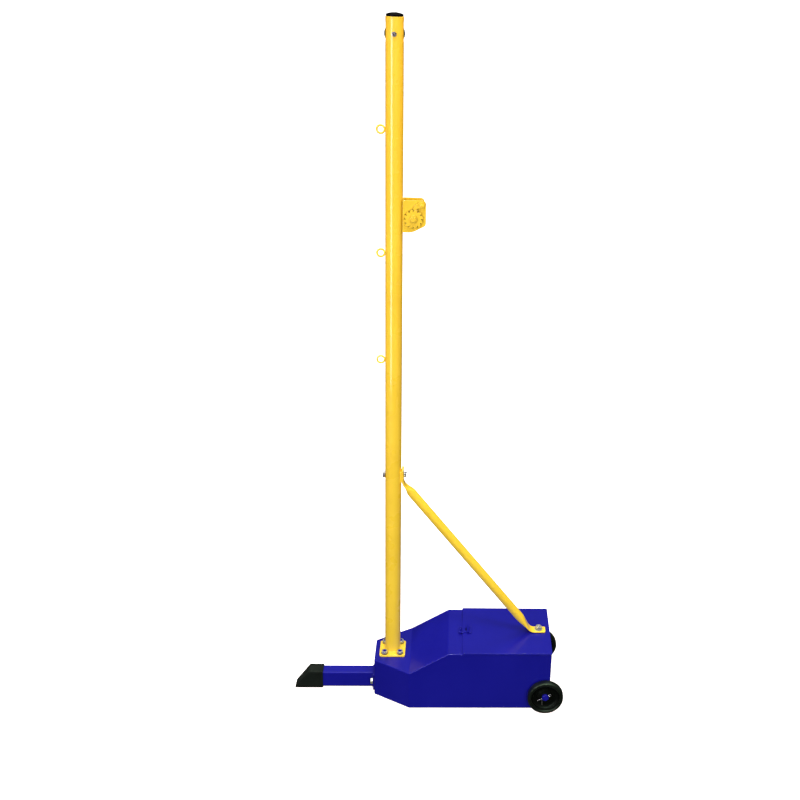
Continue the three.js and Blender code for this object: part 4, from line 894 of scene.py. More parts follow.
def makeDrum():
    low, high = reach("winch_drum")
    side = reach("winch_bracket")[1].y - winch["sheet"] - winchDrum["sideGap"]
    shaft, core, flange = winchDrum["shaft"], winchDrum["core"], winchDrum["flange"]
    inside = side - winchDrum["flangeSheet"]
    front, rear = winchDrum["frontChamfer"], winchDrum["rearChamfer"]
    centre = (low + high) / 2
    profile = [(0, low.y), (shaft - front, low.y), (shaft, low.y + front), (shaft, -side), (flange, -side),
               (flange, -inside), (core, -inside), (core, inside), (flange, inside), (flange, side), (shaft, side),
               (shaft, high.y - rear), (shaft - rear, high.y), (0, high.y)]
    ease, seatEase = winchDrum["ease"], winchDrum["seatEase"]
    rims, floor = [winchDrum["flangeEase"]] * 2, [winchDrum["coreEase"]] * 2
    easing = [0, ease, ease, seatEase, *rims, *floor, *rims, seatEase, ease, ease, 0]
    obj = lathed("winchDrum", profile, easing, "y", (centre.x, 0, centre.z), 64)
    key = roundedRectangle(winchDrum["keyWidth"], winchDrum["keyLength"], winchDrum["keyCorner"], centre.x, centre.z)
    combined(obj, [block("keyway", key, "y", low.y - winchDrum["overrun"], low.y + winchDrum["keyDepth"])])
    setPiece(obj, shadedWinchPaint, "drum", "yellow_paint", "winch_drum")


ratchet = {
    "teeth": 12, "tip": 20.0, "root": 15.4, "thickness": 4.5, "firstTip": 65.0, "faceLean": 2.5, "steps": 10,
    "bore": 5.3, "boreDepth": 40.0, "ease": 0.35, "hubFlats": 13.0, "hubSink": 1.0,
    "collar": 8.6, "collarSink": 0.5, "collarProud": 1.2, "collarEase": 0.5,
}
toothDepth = ratchet["tip"] - ratchet["root"]
toothPitch = 360 / ratchet["teeth"]
toothSpan = toothPitch - ratchet["faceLean"]


def toothBack(share):
    # the radius of a tooth's back, from the root at 0 to the tip at 1
    return ratchet["root"] + toothDepth * (1 - (1 - share) ** 2)


def makeRatchet():
    low, high = reach("winch_ratchet")
    drum = middle("winch_drum")
    axle = Vector((drum.x, 0, drum.z))
    ease, bore = ratchet["ease"], ratchet["bore"]
    back = high.y
    front = back - ratchet["thickness"]
    shares = [1 - step / ratchet["steps"] for step in range(ratchet["steps"] + 1)]
    rim = [(toothBack(share), ratchet["firstTip"] + toothSpan * (1 - share)) for share in shares]
    rim.append((ratchet["tip"], ratchet["firstTip"] + toothPitch))
    layers = [(front, ease), (front + ease, 0), (back - ease, 0), (back, ease)]

    def around(radius, degrees, place):
        return Vector((radius * math.cos(math.radians(degrees)), place, radius * math.sin(math.radians(degrees))))

    verts, faces = [], []
    for place, inset in layers:
        verts += [around(radius - inset, degrees, place) for radius, degrees in rim]
        verts += [around(bore + inset, degrees, place) for radius, degrees in rim]
    count = len(rim)
    last = (len(layers) - 1) * 2 * count
    for step in range(count - 1):
        inner = count + step
        for layer in range(len(layers) - 1):
            here, there = layer * 2 * count, (layer + 1) * 2 * count
            faces.append([here + step, here + step + 1, there + step + 1, there + step])
            faces.append([here + inner, there + inner, there + inner + 1, here + inner + 1])
        faces.append([step, inner, inner + 1, step + 1])
        faces.append([last + step, last + step + 1, last + inner + 1, last + inner])
    toothMesh = bpy.data.meshes.new("tooth")
    toothMesh.from_pydata(verts, [], faces)
    tooth = addObject("tooth", toothMesh)
    holder = addObject("winchRatchet", bpy.data.meshes.new("holder"))
    wheel = grown(holder, toothRing, {
        "Tooth": tooth, "Teeth": ratchet["teeth"], "Axle": axle, "Material": shadedWinchPaint})
    bpy.data.objects.remove(tooth)
    tidyMesh(wheel.data)
    hub = hexagonal("hub", ratchet["hubFlats"], front - low.y + ratchet["hubSink"])
    placed(hub, (drum.x, front + ratchet["hubSink"], drum.z), (90, "X"))
    start, end = front + ratchet["collarSink"], front - ratchet["collarProud"]
    easing = [0, 0, ratchet["collarEase"], 0]
    collar = lathed("collar", corners(0, start, ratchet["collar"], end), easing, "y", axle)
    combined(hub, [collar], "UNION")
    combined(hub, [turned("bore", corners(0, -ratchet["boreDepth"], bore, 0), "y", axle)])
    joined(wheel, hub)
    setPiece(wheel, shadedWinchPaint, "drum", "yellow_paint", "winch_ratchet", angle=28)


pawl = {
    "headRadius": 6.8, "noseGap": 1.2, "clearance": 0.6, "edge": 0.45, "headSteps": 24, "crestSteps": 12,
    "underShares": [0.13, 0.22, 0.3, 0.4, 0.5, 0.6, 0.7], "browShare": 0.62, "crestAcross": 0.42, "crestUp": 0.92,
}
pawlRivet = {
    "gap": 0.3, "disc": 5.6, "discSheet": 1.5, "stub": 3.1, "stubTip": 1.8, "stubRise": 1.0,
    "innerHead": 4.6, "innerSide": 0.9, "innerTip": 2.3,
}


def makePawl():
    low, high = reach("winch_pawl")
    drum = middle("winch_drum")
    pivot = middle("winch_pawl_rivet")
    headRadius, clearance = pawl["headRadius"], pawl["clearance"]
    faceTip = ratchet["firstTip"] + toothPitch

    def around(radius, degrees):
        angle = math.radians(degrees)
        return (drum.x + radius * math.cos(angle), drum.z + radius * math.sin(angle))

    def overBack(share):
        return around(toothBack(share) + clearance, faceTip - ratchet["faceLean"] - toothSpan * share)

    def besideFace(radius):
        lean = ratchet["faceLean"] * max(0, ratchet["tip"] - radius) / toothDepth
        return around(radius, faceTip - lean - math.degrees(pawl["noseGap"] / radius))

    brow = besideFace(ratchet["tip"] + pawl["browShare"] * toothDepth)
    nose = besideFace(toothBack(pawl["underShares"][0]) + 2 * clearance)
    heel = (overBack(1)[0] + clearance, pivot.z - headRadius)
    outline = [nose] + [overBack(share) for share in pawl["underShares"]] + [heel]
    for step in range(pawl["headSteps"] + 1):
        angle = math.radians(-90 + 180 * step / pawl["headSteps"])
        outline.append((pivot.x + headRadius * math.cos(angle), pivot.z + headRadius * math.sin(angle)))
    start = Vector(outline[-1])
    crest = Vector((brow[0] + (pivot.x - brow[0]) * pawl["crestAcross"],
                    brow[1] + (pivot.z + headRadius - brow[1]) * pawl["crestUp"]))
    for step in range(1, pawl["crestSteps"] + 1):
        outline.append(tuple(bent(start, crest, Vector(brow), step / pawl["crestSteps"])))
    hole = circle(screwThread["hole"], pivot.x, pivot.z, 32)
    obj = plate("winchPawl", [outline, hole], "y", low.y, high.y, pawl["edge"], 3)
    setPiece(obj, shadedWinchPaint, "pawl", "yellow_paint", "winch_pawl", angle=40)

    seat = low.y - pawlRivet["gap"]
    discFace = seat - pawlRivet["discSheet"]
    inner = reach("winch_bracket")[0].y + winch["sheet"] + pawlRivet["gap"]
    low, high = reach("winch_pawl_rivet")
    disc, stub, innerHead = pawlRivet["disc"], pawlRivet["stub"], pawlRivet["innerHead"]
    pin = screwThread["radius"]
    profile = [(0, low.y), (pawlRivet["stubTip"], low.y), (stub, low.y + pawlRivet["stubRise"]), (stub, discFace),
               (disc, discFace), (disc, seat), (pin, seat), (pin, inner), (innerHead, inner),
               (innerHead, inner + pawlRivet["innerSide"]), (pawlRivet["innerTip"], high.y), (0, high.y)]
    easing = [0, 1.0, 0.8, 0.1, 0.45, 0.15, 0.1, 0.1, 0.15, 0.5, 1.0, 0]
    rivet = lathed("pawlRivet", profile, easing, "y", (pivot.x, 0, pivot.z), 40, 4)
    setPiece(rivet, shadedWinchPaint, "post", "yellow_paint", "winch_pawl_rivet")


makeWinchBracket()
makeDrum()
makeRatchet()
makePawl()
print("winch made")


baseStuds = [f"base_stud_{number}" for number in range(1, 5)]
legBolts = ("leg_bolt_front", "leg_bolt_rear")
box = {
    "sheet": 2.5, "fold": 2.4, "foldSteps": 4, "rimShare": 0.15, "noseHalf": 41.0, "bend": 43.0, "slopeEnd": 131.0,
    "noseTop": 97.0, "wellNear": 14.0, "wellSide": 11.0, "wellFar": 41.0, "wellCorner": 6.0, "axleHole": 8.3,
    "overrun": 5.0, "bite": 8.0,
}


def insetOutline(points, distance):
    out = []
    for index, spot in enumerate(points):
        corner = Vector(spot)
        arriving = (corner - Vector(points[index - 1])).normalized()
        leaving = (Vector(points[(index + 1) % len(points)]) - corner).normalized()
        first = Vector((-arriving.y, arriving.x))
        second = Vector((-leaving.y, leaving.x))
        out.append(tuple(corner + (first + second) * distance / (1 + first.dot(second))))
    return out


def foldEdges(obj, bottom):
    # the sheet is folded along every edge except the lower rim, which is only cut
    mesh = obj.data
    weights = mesh.attributes.new("bevel_weight_edge", "FLOAT", "EDGE")
    for edge in mesh.edges:
        onRim = all(abs(mesh.vertices[corner].co.z - bottom) < 0.01 for corner in edge.vertices)
        weights.data[edge.index].value = box["rimShare"] if onRim else 1
    step = obj.modifiers.new("fold", "BEVEL")
    step.width = box["fold"]
    step.segments = box["foldSteps"]
    step.limit_method = "WEIGHT"
    applied(obj)


def makeBox():
    low, high = reach("ballast_box")
    side, bottom, top, end = high.y, low.z, high.z, high.x
    noseHalf, noseTop, bend, slopeEnd = box["noseHalf"], box["noseTop"], box["bend"], box["slopeEnd"]
    over, bite = box["overrun"], box["bite"]
    plan = [(low.x, -noseHalf), (bend, -side), (end, -side), (end, side), (bend, side), (low.x, noseHalf)]
    verts = [Vector((x, y, bottom)) for x, y in plan]
    verts += [Vector((low.x, -noseHalf, noseTop)), Vector((bend, -side, noseTop)), Vector((slopeEnd, -side, top)),
              Vector((end, -side, top)), Vector((end, side, top)), Vector((slopeEnd, side, top)),
              Vector((bend, side, noseTop)), Vector((low.x, noseHalf, noseTop))]
    faces = [[5, 4, 3, 2, 1, 0], [0, 1, 7, 6], [1, 2, 9, 8, 7], [2, 3, 10, 9], [3, 4, 12, 11, 10], [4, 5, 13, 12],
             [5, 0, 6, 13], [6, 7, 12, 13], [7, 8, 11, 12], [8, 9, 10, 11]]
    obj = pointsObject("ballastBox", verts, faces)
    foldEdges(obj, bottom)
    profile = [(low.x, bottom), (end, bottom), (end, top), (slopeEnd, top), (bend, noseTop), (low.x, noseTop)]
    inside = block("inside", insetOutline(plan, box["sheet"]), "z", bottom - over, top + over)
    across = block("side", insetOutline(profile, box["sheet"]), "y", -side - over, side + over)
    combined(inside, [across], "INTERSECT")
    wellStart, wellEnd = reach("box_lid")[0].x + box["wellNear"], end - box["wellFar"]
    wellHeight = 2 * (side - box["wellSide"])
    well = roundedRectangle(wellEnd - wellStart, wellHeight, box["wellCorner"], (wellStart + wellEnd) / 2)
    cutters = [inside, block("well", well, "z", top - bite, top + over)]
    hole = boltThread["hole"]
    for stud in map(middle, baseStuds):
        cutters.append(drill(hole, stud.x, stud.y, "z", noseTop - bite, noseTop + over, 24))
    for bolt in map(middle, legBolts):
        cutters.append(drill(hole, bolt.y, bolt.z, "x", low.x - over, low.x + bite, 24))
    bolt = middle("brace_bolt_lower")
    cutters.append(drill(hole, bolt.x, bolt.y, "z", top - bite, top + over, 24))
    axle = middle("wheel_axle")
    cutters.append(drill(box["axleHole"], axle.x, axle.z, "y", -side - over, side + over))
    combined(obj, cutters)
    setPiece(obj, bluePaint, "post", "blue_paint", "ballast_box", angle=24)


lid = {"corner": 3.0, "edge": 0.9}


def makeLid():
    low, high = reach("box_lid")
    bolt = middle("brace_bolt_lower")
    outline = roundedRectangle(high.x - low.x, high.y - low.y, lid["corner"], (low.x + high.x) / 2, 0)
    hole = circle(boltThread["hole"], bolt.x, bolt.y, 32)
    obj = plate("boxLid", [outline, hole], "z", low.z, high.z, lid["edge"], 3)
    setPiece(obj, bluePaint, "post", "blue_paint", "box_lid", angle=40)


hasp = {
    "width": 26.0, "sheet": 2.0, "corner": 3.0, "edge": 0.5, "gap": 0.3,
    "slotLength": 5.0, "slotWidth": 15.0, "slotInset": 2.4, "slotCorner": 1.5,
    "barrel": 2.8, "barrelEase": 0.4, "pin": 1.3, "pinEase": 0.3, "knuckle": 11.0, "knuckleEase": 0.5,
    "tongue": 4.0, "tongueEase": 0.5, "tongueEdge": 0.4, "arm": 4.0, "armEase": 0.4, "armEdge": 0.3,
    "baseStart": 3.2, "baseEase": [0.3, 2.2, 2.2, 0.3],
    "rivetAcross": 5.2, "rivetInset": 4.0, "dome": [(0, 3.2), (1.2, 3.0), (2.0, 2.0), (2.0, 1.5), (0, 1.5)],
    "wire": 1.6, "halfSpan": 5.0, "bowSteps": 20, "bowSink": 1.0,
}


def makeHasp():
    low, high = reach("hasp_leaf")
    hingeLow, hingeHigh = reach("hasp_hinge")
    sheet, edge, gap, barrel, pin = hasp["sheet"], hasp["edge"], hasp["gap"], hasp["barrel"], hasp["pin"]
    axisX, axisZ = hingeLow.x + barrel, hingeHigh.z - barrel
    axis = (axisX, 0, axisZ)
    leafEnd = axisX - barrel - gap
    slotX = low.x + hasp["slotInset"] + hasp["slotLength"] / 2
    outline = roundedRectangle(leafEnd - low.x, hasp["width"], hasp["corner"], (low.x + leafEnd) / 2)
    slot = roundedRectangle(hasp["slotLength"], hasp["slotWidth"], hasp["slotCorner"], slotX)
    leaf = plate("haspLeaf", [outline, slot], "z", low.z, low.z + sheet, edge, 3)
    half = hasp["knuckle"] / 2
    tongue = softCorners(corners(leafEnd - hasp["tongue"], -half, axisX, half), hasp["tongueEase"], 2)
    tongue = plate("tongue", [tongue], "z", low.z, low.z + sheet, hasp["tongueEdge"], 2)
    joined(leaf, tongue, ringed("barrel", barrel, pin + gap, -half, half, "y", axis, hasp["barrelEase"], 40))
    setPiece(leaf, bluePaint, "hasp", "blue_paint", "hasp_leaf", angle=40)

    outer = (hingeHigh.y - hingeLow.y) / 2
    inner = half + gap
    base, top = hingeLow.z, hingeLow.z + sheet
    outline = softCorners(corners(axisX + hasp["baseStart"], -outer, hingeHigh.x, outer), hasp["baseEase"], 4)
    hinge = plate("haspHinge", [outline], "z", base, top, edge, 3)
    parts = []
    for sign in (-1, 1):
        start, end = sorted((sign * inner, sign * outer))
        arm = softCorners(corners(axisX, start, axisX + hasp["arm"], end), hasp["armEase"], 2)
        parts.append(plate("arm", [arm], "z", base, top, hasp["armEdge"], 2))
        easing = [0, hasp["knuckleEase"], hasp["knuckleEase"], 0]
        parts.append(lathed("knuckle", corners(0, start, barrel, end), easing, "y", axis, 40))
        dome = [(radius, base + rise) for radius, rise in hasp["dome"]]
        spot = (axisX + hasp["rivetAcross"], sign * (outer - hasp["rivetInset"]), 0)
        parts.append(lathed("rivet", dome, [0, 0.5, 0.3, 0, 0], "z", spot, 24))
    easing = [0, hasp["pinEase"], hasp["pinEase"], 0]
    parts.append(lathed("pin", corners(0, -outer, pin, outer), easing, "y", axis, 24, 2))
    joined(hinge, *parts)
    setPiece(hinge, bluePaint, "post", "blue_paint", "hasp_hinge", angle=40)

    low, high = reach("hasp_staple")
    footing = roundedRectangle(high.x - low.x, high.y - low.y, hasp["corner"], (low.x + high.x) / 2)
    base = plate("haspStaple", [footing], "z", low.z, low.z + sheet, edge, 3)
    span = hasp["halfSpan"]
    bowZ = high.z - span - hasp["wire"]
    path = [(slotX, -span, low.z + hasp["bowSink"])]
    for step in range(hasp["bowSteps"] + 1):
        angle = math.pi * step / hasp["bowSteps"]
        path.append((slotX, -span * math.cos(angle), bowZ + span * math.sin(angle)))
    path.append((slotX, span, low.z + hasp["bowSink"]))
    joined(base, wire("bow", path, hasp["wire"], roundness=5))
    setPiece(base, bluePaint, "post", "blue_paint", "hasp_staple", angle=45)


makeBox()
makeLid()
makeHasp()
for name in ("ballast_slab_lower", "ballast_slab_upper"):
    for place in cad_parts[name].material_slots:
        place.material = slabIron
print("ballast box, lid and hasp made")


foot = {
    "plateCorner": 5.0, "plateEdge": 1.0, "washerGap": 0.3, "washerEdge": 0.3, "nutDrop": 1.0,
    "studHead": 7.0, "studHeadHeight": 3.0, "threadGap": 0.2, "studTip": 1.0, "tipRise": 1.1,
    "fillet": [(0, -0.5), (2.3, -0.5), (1.9, 0.5), (0.8, 1.6), (0, 2.4)], "filletEase": 0.3,
    "weldRadius": 19.4, "weldRise": 0.9, "weldSteps": 90,
    "weld": {"Pitch": 2.6, "Width": 2.1, "Height": 2.3, "Unevenness": 0.18, "Seed": 7},
}


def layWeld(name, ring, look, material, slotName):
    path = bpy.data.curves.new("weldPath", "CURVE")
    path.dimensions = "3D"
    addSpline(path, ring)
    bead = grown(addObject(name, path), weldBead, {**look, "Material": material})
    setPiece(bead, material, "post", slotName, angle=60)


def putFasteners(name, shape, material, slotName, spacing, turn, seed, nodes):
    # the same fastener on four places, each turned by chance
    holder = addObject(name, bpy.data.meshes.new(name))
    obj = grown(holder, fastenerGrid, {
        "Fastener": shape, "Spacing X": spacing[0], "Spacing Y": spacing[1], "Turn": turn, "Seed": seed,
        "Material": material})
    bpy.data.objects.remove(shape)
    setPiece(obj, material, "post", slotName, *[f"{nodes}_{number}" for number in range(1, 5)])


def makeMastFoot():
    low, high = reach("mast_base_plate")
    top = reach("base_washer_1")[0].z - foot["washerGap"]
    studs = [middle(name) for name in baseStuds]
    outline = roundedRectangle(high.x - low.x, high.y - low.y, foot["plateCorner"], 0, 0)
    holes = [circle(boltThread["hole"], stud.x, stud.y, 28) for stud in studs]
    obj = plate("mastBasePlate", [outline, *holes], "z", low.z, top, foot["plateEdge"], 3)
    fillet = softCorners([(mastRadius + out, top + up) for out, up in foot["fillet"]], foot["filletEase"], 2)
    joined(obj, turned("fillet", fillet, "z", sides=72, closed=True))
    setPiece(obj, yellowPaint, "post", "yellow_paint", "mast_base_plate", angle=40)
    ring = [(x, y, top + foot["weldRise"]) for x, y in circle(foot["weldRadius"], 0, 0, foot["weldSteps"])]
    layWeld("mastFootWeld", ring, foot["weld"], yellowPaint, "yellow_paint")

    spacing = (studs[-1].x - studs[0].x, abs(studs[1].y - studs[0].y))
    low, high = reach("base_nut_1")
    nutTop = high.z - foot["nutDrop"]
    nut = hexagonal("nutShape", boltThread["flats"], nutTop - low.z, boltThread["nutBore"])
    putFasteners("baseNuts", placed(nut, (0, 0, low.z)), zincWithGreenReflection, "zinc", spacing, 1.9, 3, "base_nut")
    low, high = reach("base_washer_1")
    outer = (high.x - low.x) / 2
    washer = ringed("washerShape", outer, boltThread["hole"], low.z, high.z, "z", edge=foot["washerEdge"])
    putFasteners("baseWashers", washer, washerZinc, "zinc", spacing, 0.5, 5, "base_washer")
    low, high = reach("base_stud_1")
    headTop, tip = low.z + foot["studHeadHeight"], nutTop + foot["studTip"]
    radius, head = boltThread["radius"], foot["studHead"]
    profile = [(0, low.z), (head, low.z), (head, headTop), (radius, headTop)]
    profile += threadStations(boltThread, headTop + foot["threadGap"], tip - foot["tipRise"])
    profile += [(radius - foot["studTip"], tip), (0, tip)]
    stud = turned("studShape", profile, "z", sides=28, twist=thread(boltThread))
    putFasteners("baseStuds", stud, bluePaint, "blue_paint", spacing, 6.2, 11, "base_stud")


brace = {
    "radius": 10.2, "flatHalfWidth": 11.5, "flat": 4.0, "boltSetback": 18.2, "tabFall": 19.5, "bendLength": 9.0,
    "upperTransition": 24.0, "lowerTransition": 40.0, "endRound": 4.0, "sides": 40, "overrun": 6.0,
    "endSteps": 6, "bendSteps": 8, "upperSteps": 14, "lowerSteps": 18,
}


def smoothShare(share):
    return share * share * (3 - 2 * share)


def makeBrace():
    low, high = reach("brace_tube")
    upperBolt = middle("brace_bolt_upper")
    lowerBolt = middle("brace_bolt_lower")
    radius, flat, flatHalf = brace["radius"], brace["flat"] / 2, brace["flatHalfWidth"]
    endRound, bendLength = brace["endRound"], brace["bendLength"]
    tabX, tabZ = low.x + flat, low.z + flat
    top = Vector((tabX, 0, high.z))
    upperBend = Vector((tabX, 0, upperBolt.z - brace["tabFall"]))
    lowerBend = Vector((lowerBolt.x - brace["boltSetback"], 0, tabZ))
    end = Vector((high.x, 0, tabZ))
    slant = (lowerBend - upperBend).normalized()
    up, right, side = Vector((0, 0, 1)), Vector((1, 0, 0)), Vector((0, 1, 0))
    upperStart, upperEnd = upperBend + up * bendLength, upperBend + slant * bendLength
    lowerStart, lowerEnd = lowerBend - slant * bendLength, lowerBend + right * bendLength
    stations = []

    def add(at, heading, roundness, inset=0):
        halfWidth = flatHalf + (radius - flatHalf) * roundness
        stations.append((at, heading.normalized(), halfWidth - inset, flat + (radius - flat) * roundness))

    def addEnd(tip, inward, heading, turn):
        add(tip - inward * endRound * (1 - math.cos(turn)), heading, 0, endRound * (1 - math.sin(turn)))

    def addBend(start, corner, finish):
        for step in range(brace["bendSteps"] + 1):
            share = step / brace["bendSteps"]
            heading = (corner - start) * (1 - share) + (finish - corner) * share
            add(bent(start, corner, finish, share), heading, 0)

    turns = [math.pi / 2 * step / brace["endSteps"] for step in range(brace["endSteps"] + 1)]
    for turn in turns:
        addEnd(top, up, -up, turn)
    addBend(upperStart, upperBend, upperEnd)
    steps = brace["upperSteps"]
    for step in range(1, steps + 1):
        add(upperEnd + slant * brace["upperTransition"] * step / steps, slant, smoothShare(step / steps))
    steps = brace["lowerSteps"]
    for step in range(steps, 0, -1):
        add(lowerStart - slant * brace["lowerTransition"] * step / steps, slant, smoothShare(step / steps))
    addBend(lowerStart, lowerBend, lowerEnd)
    for turn in reversed(turns):
        addEnd(end, right, right, turn)
    verts, faces = [], []
    sides = brace["sides"]
    for at, heading, halfWidth, halfThick in stations:
        across = heading.cross(side)
        straight = max(0, halfWidth - halfThick)
        for index in range(sides):
            angle = 2 * math.pi * (index + 0.5) / sides
            away = straight * math.copysign(1, math.sin(angle)) + halfThick * math.sin(angle)
            verts.append(at + side * away + across * halfThick * math.cos(angle))
    for ring in range(len(stations) - 1):
        here, there = ring * sides, (ring + 1) * sides
        for index in range(sides):
            after = (index + 1) % sides
            faces.append([here + index, here + after, there + after, there + index])
    faces.append(list(range(sides)))
    faces.append([(len(stations) - 1) * sides + index for index in reversed(range(sides))])
    obj = pointsObject("braceTube", verts, faces)
    hole, over = boltThread["hole"], brace["overrun"]
    combined(obj, [drill(hole, 0, upperBolt.z, "x", tabX - over, tabX + over, 32),
                   drill(hole, lowerBolt.x, 0, "z", tabZ - over, tabZ + over, 32)])
    setPiece(obj, yellowPaint, "post", "yellow_paint", "brace_tube", angle=50)


saddle = {"corner": 2.5, "depth": 3.0, "edge": 0.5, "mastRoom": 1500}
wingNut = {
    "hub": [(4.15, 0), (6.3, 0), (5.9, 1.6), (5.4, 4.0), (4.15, 4.0)], "hubEase": [0.2, 0.4, 0.8, 0.5, 0.2],
    "wing": [(0.8, 4.5), (0.9, 8.0), (2.2, 13.4), (5.5, 14.0), (6.5, 11.8), (5.9, 9.6), (4.0, 5.0)],
    "wingEase": 2.4, "wingThickness": 2.5, "wingEdge": 1.1,
}
lowerBoltLook = {"headTop": 3.0, "headFoot": 5.0, "head": 8.0, "headSide": 1.6, "threadLength": 14.0,
                 "washerEdge": 0.35}
turnOf = {"upperHead": 12, "lowerNut": 9}


def makeBraceFastenings():
    radius, hole, flats, tipRise = boltThread["radius"], boltThread["hole"], boltThread["flats"], boltThread["tip"]
    bolt = middle("brace_bolt_upper")
    low, high = reach("brace_saddle")
    outline = softCorners(corners(low.y, low.z, high.y, high.z), saddle["corner"], 5)
    outlines = [outline, circle(hole, 0, bolt.z, 28)]
    obj = plate("braceSaddle", outlines, "x", low.x - saddle["depth"], high.x, saddle["edge"], 3)
    combined(obj, [mastSpace(0, saddle["mastRoom"])])
    setPiece(obj, yellowPaint, "post", "yellow_paint", "brace_saddle", angle=40)

    low, high = reach("brace_bolt_upper")
    head = hexagonal("braceBoltUpper", flats, -mastRadius - low.x)
    placed(head, (-mastRadius, 0, bolt.z), (-90, "Y"), (turnOf["upperHead"], "Z"))
    joined(head, shank(boltThread, "x", -mastRadius - sink, mastRadius, high.x, (0, 0, bolt.z), 28))
    setPiece(head, zinc, "post", "zinc", "brace_bolt_upper")

    seat = reach("brace_wing_nut")[0].x
    hub = softCorners([(r, seat + rise) for r, rise in wingNut["hub"]], wingNut["hubEase"], 3)
    hub = turned("braceWingNut", hub, "x", (0, 0, bolt.z), 36, closed=True)
    half = wingNut["wingThickness"] / 2
    for sign in (-1, 1):
        outline = softCorners([(seat + rise, sign * y) for rise, y in wingNut["wing"]], wingNut["wingEase"], 6)
        joined(hub, plate("wing", [outline], "z", bolt.z - half, bolt.z + half, wingNut["wingEdge"], 4))
    setPiece(hub, zinc, "post", "zinc", "brace_wing_nut", angle=50)

    low, high = reach("brace_bolt_lower")
    centre = ((low.x + high.x) / 2, 0, 0)
    head, headTop = lowerBoltLook["head"], low.z + lowerBoltLook["headTop"]
    threadStart = high.z - lowerBoltLook["threadLength"]
    profile = [(0, low.z), (lowerBoltLook["headFoot"], low.z), (head, low.z + lowerBoltLook["headSide"]),
               (head, headTop), (radius, headTop), (radius, threadStart)]
    profile = softCorners(profile, [0, 1.5, 0.6, 0.2, 0.2, 0], 3, closed=False)
    profile += threadStations(boltThread, threadStart, high.z - tipRise) + [(radius - tipRise, high.z), (0, high.z)]
    obj = turned("braceBoltLower", profile, "z", centre, 28, twist=thread(boltThread))
    setPiece(obj, zincWithGreenReflection, "post", "zinc", "brace_bolt_lower")
    low, high = reach("brace_washer_lower")
    outer = (high.x - low.x) / 2
    washer = ringed("braceWasherLower", outer, hole, low.z, high.z, "z", centre, lowerBoltLook["washerEdge"])
    setPiece(washer, zincWithGreenReflection, "post", "zinc", "brace_washer_lower")
    low, high = reach("brace_nut_lower")
    nut = hexagonal("braceNutLower", flats, high.z - low.z, boltThread["nutBore"])
    placed(nut, (centre[0], 0, low.z), (turnOf["lowerNut"], "Z"))
    setPiece(nut, zincWithGreenReflection, "post", "zinc", "brace_nut_lower")


makeMastFoot()
makeBrace()
makeBraceFastenings()
print("mast foot and brace made")


leg = {
    "width": 30.0, "height": 40.0, "wall": 2.0, "corner": 3.2, "tubeEdge": 0.3,
    "flangeCorner": 3.0, "flangeEdge": 0.7, "boltGap": 0.3, "threadStart": 5.0,
    "weldWider": 1.4, "weldHigher": 1.2, "weldCorner": 0.5, "weldRise": 0.9,
    "weld": {"Pitch": 2.4, "Width": 1.5, "Height": 1.5, "Unevenness": 0.2, "Seed": 4},
}


def makeLeg():
    low, high = reach("leg_tube")
    width, height, corner, wall = leg["width"], leg["height"], leg["corner"], leg["wall"]
    centreZ = (low.z + high.z) / 2
    outer = roundedRectangle(width, height, corner, 0, centreZ)
    inner = roundedRectangle(width - 2 * wall, height - 2 * wall, corner - wall, 0, centreZ)
    tube = plate("legTube", [outer, inner], "x", low.x, high.x, leg["tubeEdge"], 1)
    setPiece(tube, bluePaint, "post", "blue_paint", "leg_tube", angle=40)

    low, high = reach("leg_flange")
    face = low.x
    bolts = [middle(name) for name in legBolts]
    outline = roundedRectangle(high.y - low.y, high.z - low.z, leg["flangeCorner"], 0, (low.z + high.z) / 2)
    holes = [circle(boltThread["hole"], bolt.y, bolt.z, 28) for bolt in bolts]
    flange = plate("legFlange", [outline, *holes], "x", face, high.x, leg["flangeEdge"], 3)
    setPiece(flange, bluePaint, "post", "blue_paint", "leg_flange", angle=40)
    wide, tall = width + leg["weldWider"], height + leg["weldHigher"]
    ring = roundedRectangle(wide, tall, corner + leg["weldCorner"], 0, centreZ)
    ring = [(face - leg["weldRise"], y, z) for y, z in ring]
    layWeld("legWeld", ring, leg["weld"], bluePaint, "blue_paint")

    seat = face - leg["boltGap"]
    for name, piece, bolt in zip(legBolts, ("legBoltFront", "legBoltRear"), bolts):
        low, high = reach(name)
        head = hexagonal(piece, boltThread["flats"], seat - low.x)
        placed(head, (seat, bolt.y, bolt.z), (-90, "Y"))
        spot = (0, bolt.y, bolt.z)
        joined(head, shank(boltThread, "x", seat - sink, seat + leg["threadStart"], high.x, spot, 24))
        setPiece(head, zincWithGreenReflection, "post", "zinc", name)
    for name, piece, bolt in zip(("leg_nut_front", "leg_nut_rear"), ("legNutFront", "legNutRear"), bolts):
        low, high = reach(name)
        nut = hexagonal(piece, boltThread["flats"], high.x - low.x, boltThread["nutBore"])
        placed(nut, (low.x, bolt.y, bolt.z), (90, "Y"))
        setPiece(nut, zincWithGreenReflection, "post", "zinc", name)


shoe = {
    "slope": 34.0, "ease": 1.6, "easeSteps": 4, "easeAngle": 20, "room": 0.3, "overrun": 5.0,
    "collar": 8.0, "grooveStep": 2.2, "grooveWidth": 1.1, "grooveEdge": 0.25, "beyond": 8.0,
    "outerCorner": 2.0, "outerRise": 3.4, "innerCorner": 1.6, "innerDrop": 4.0, "sideDepth": 1.2, "topDepth": 0.6,
}


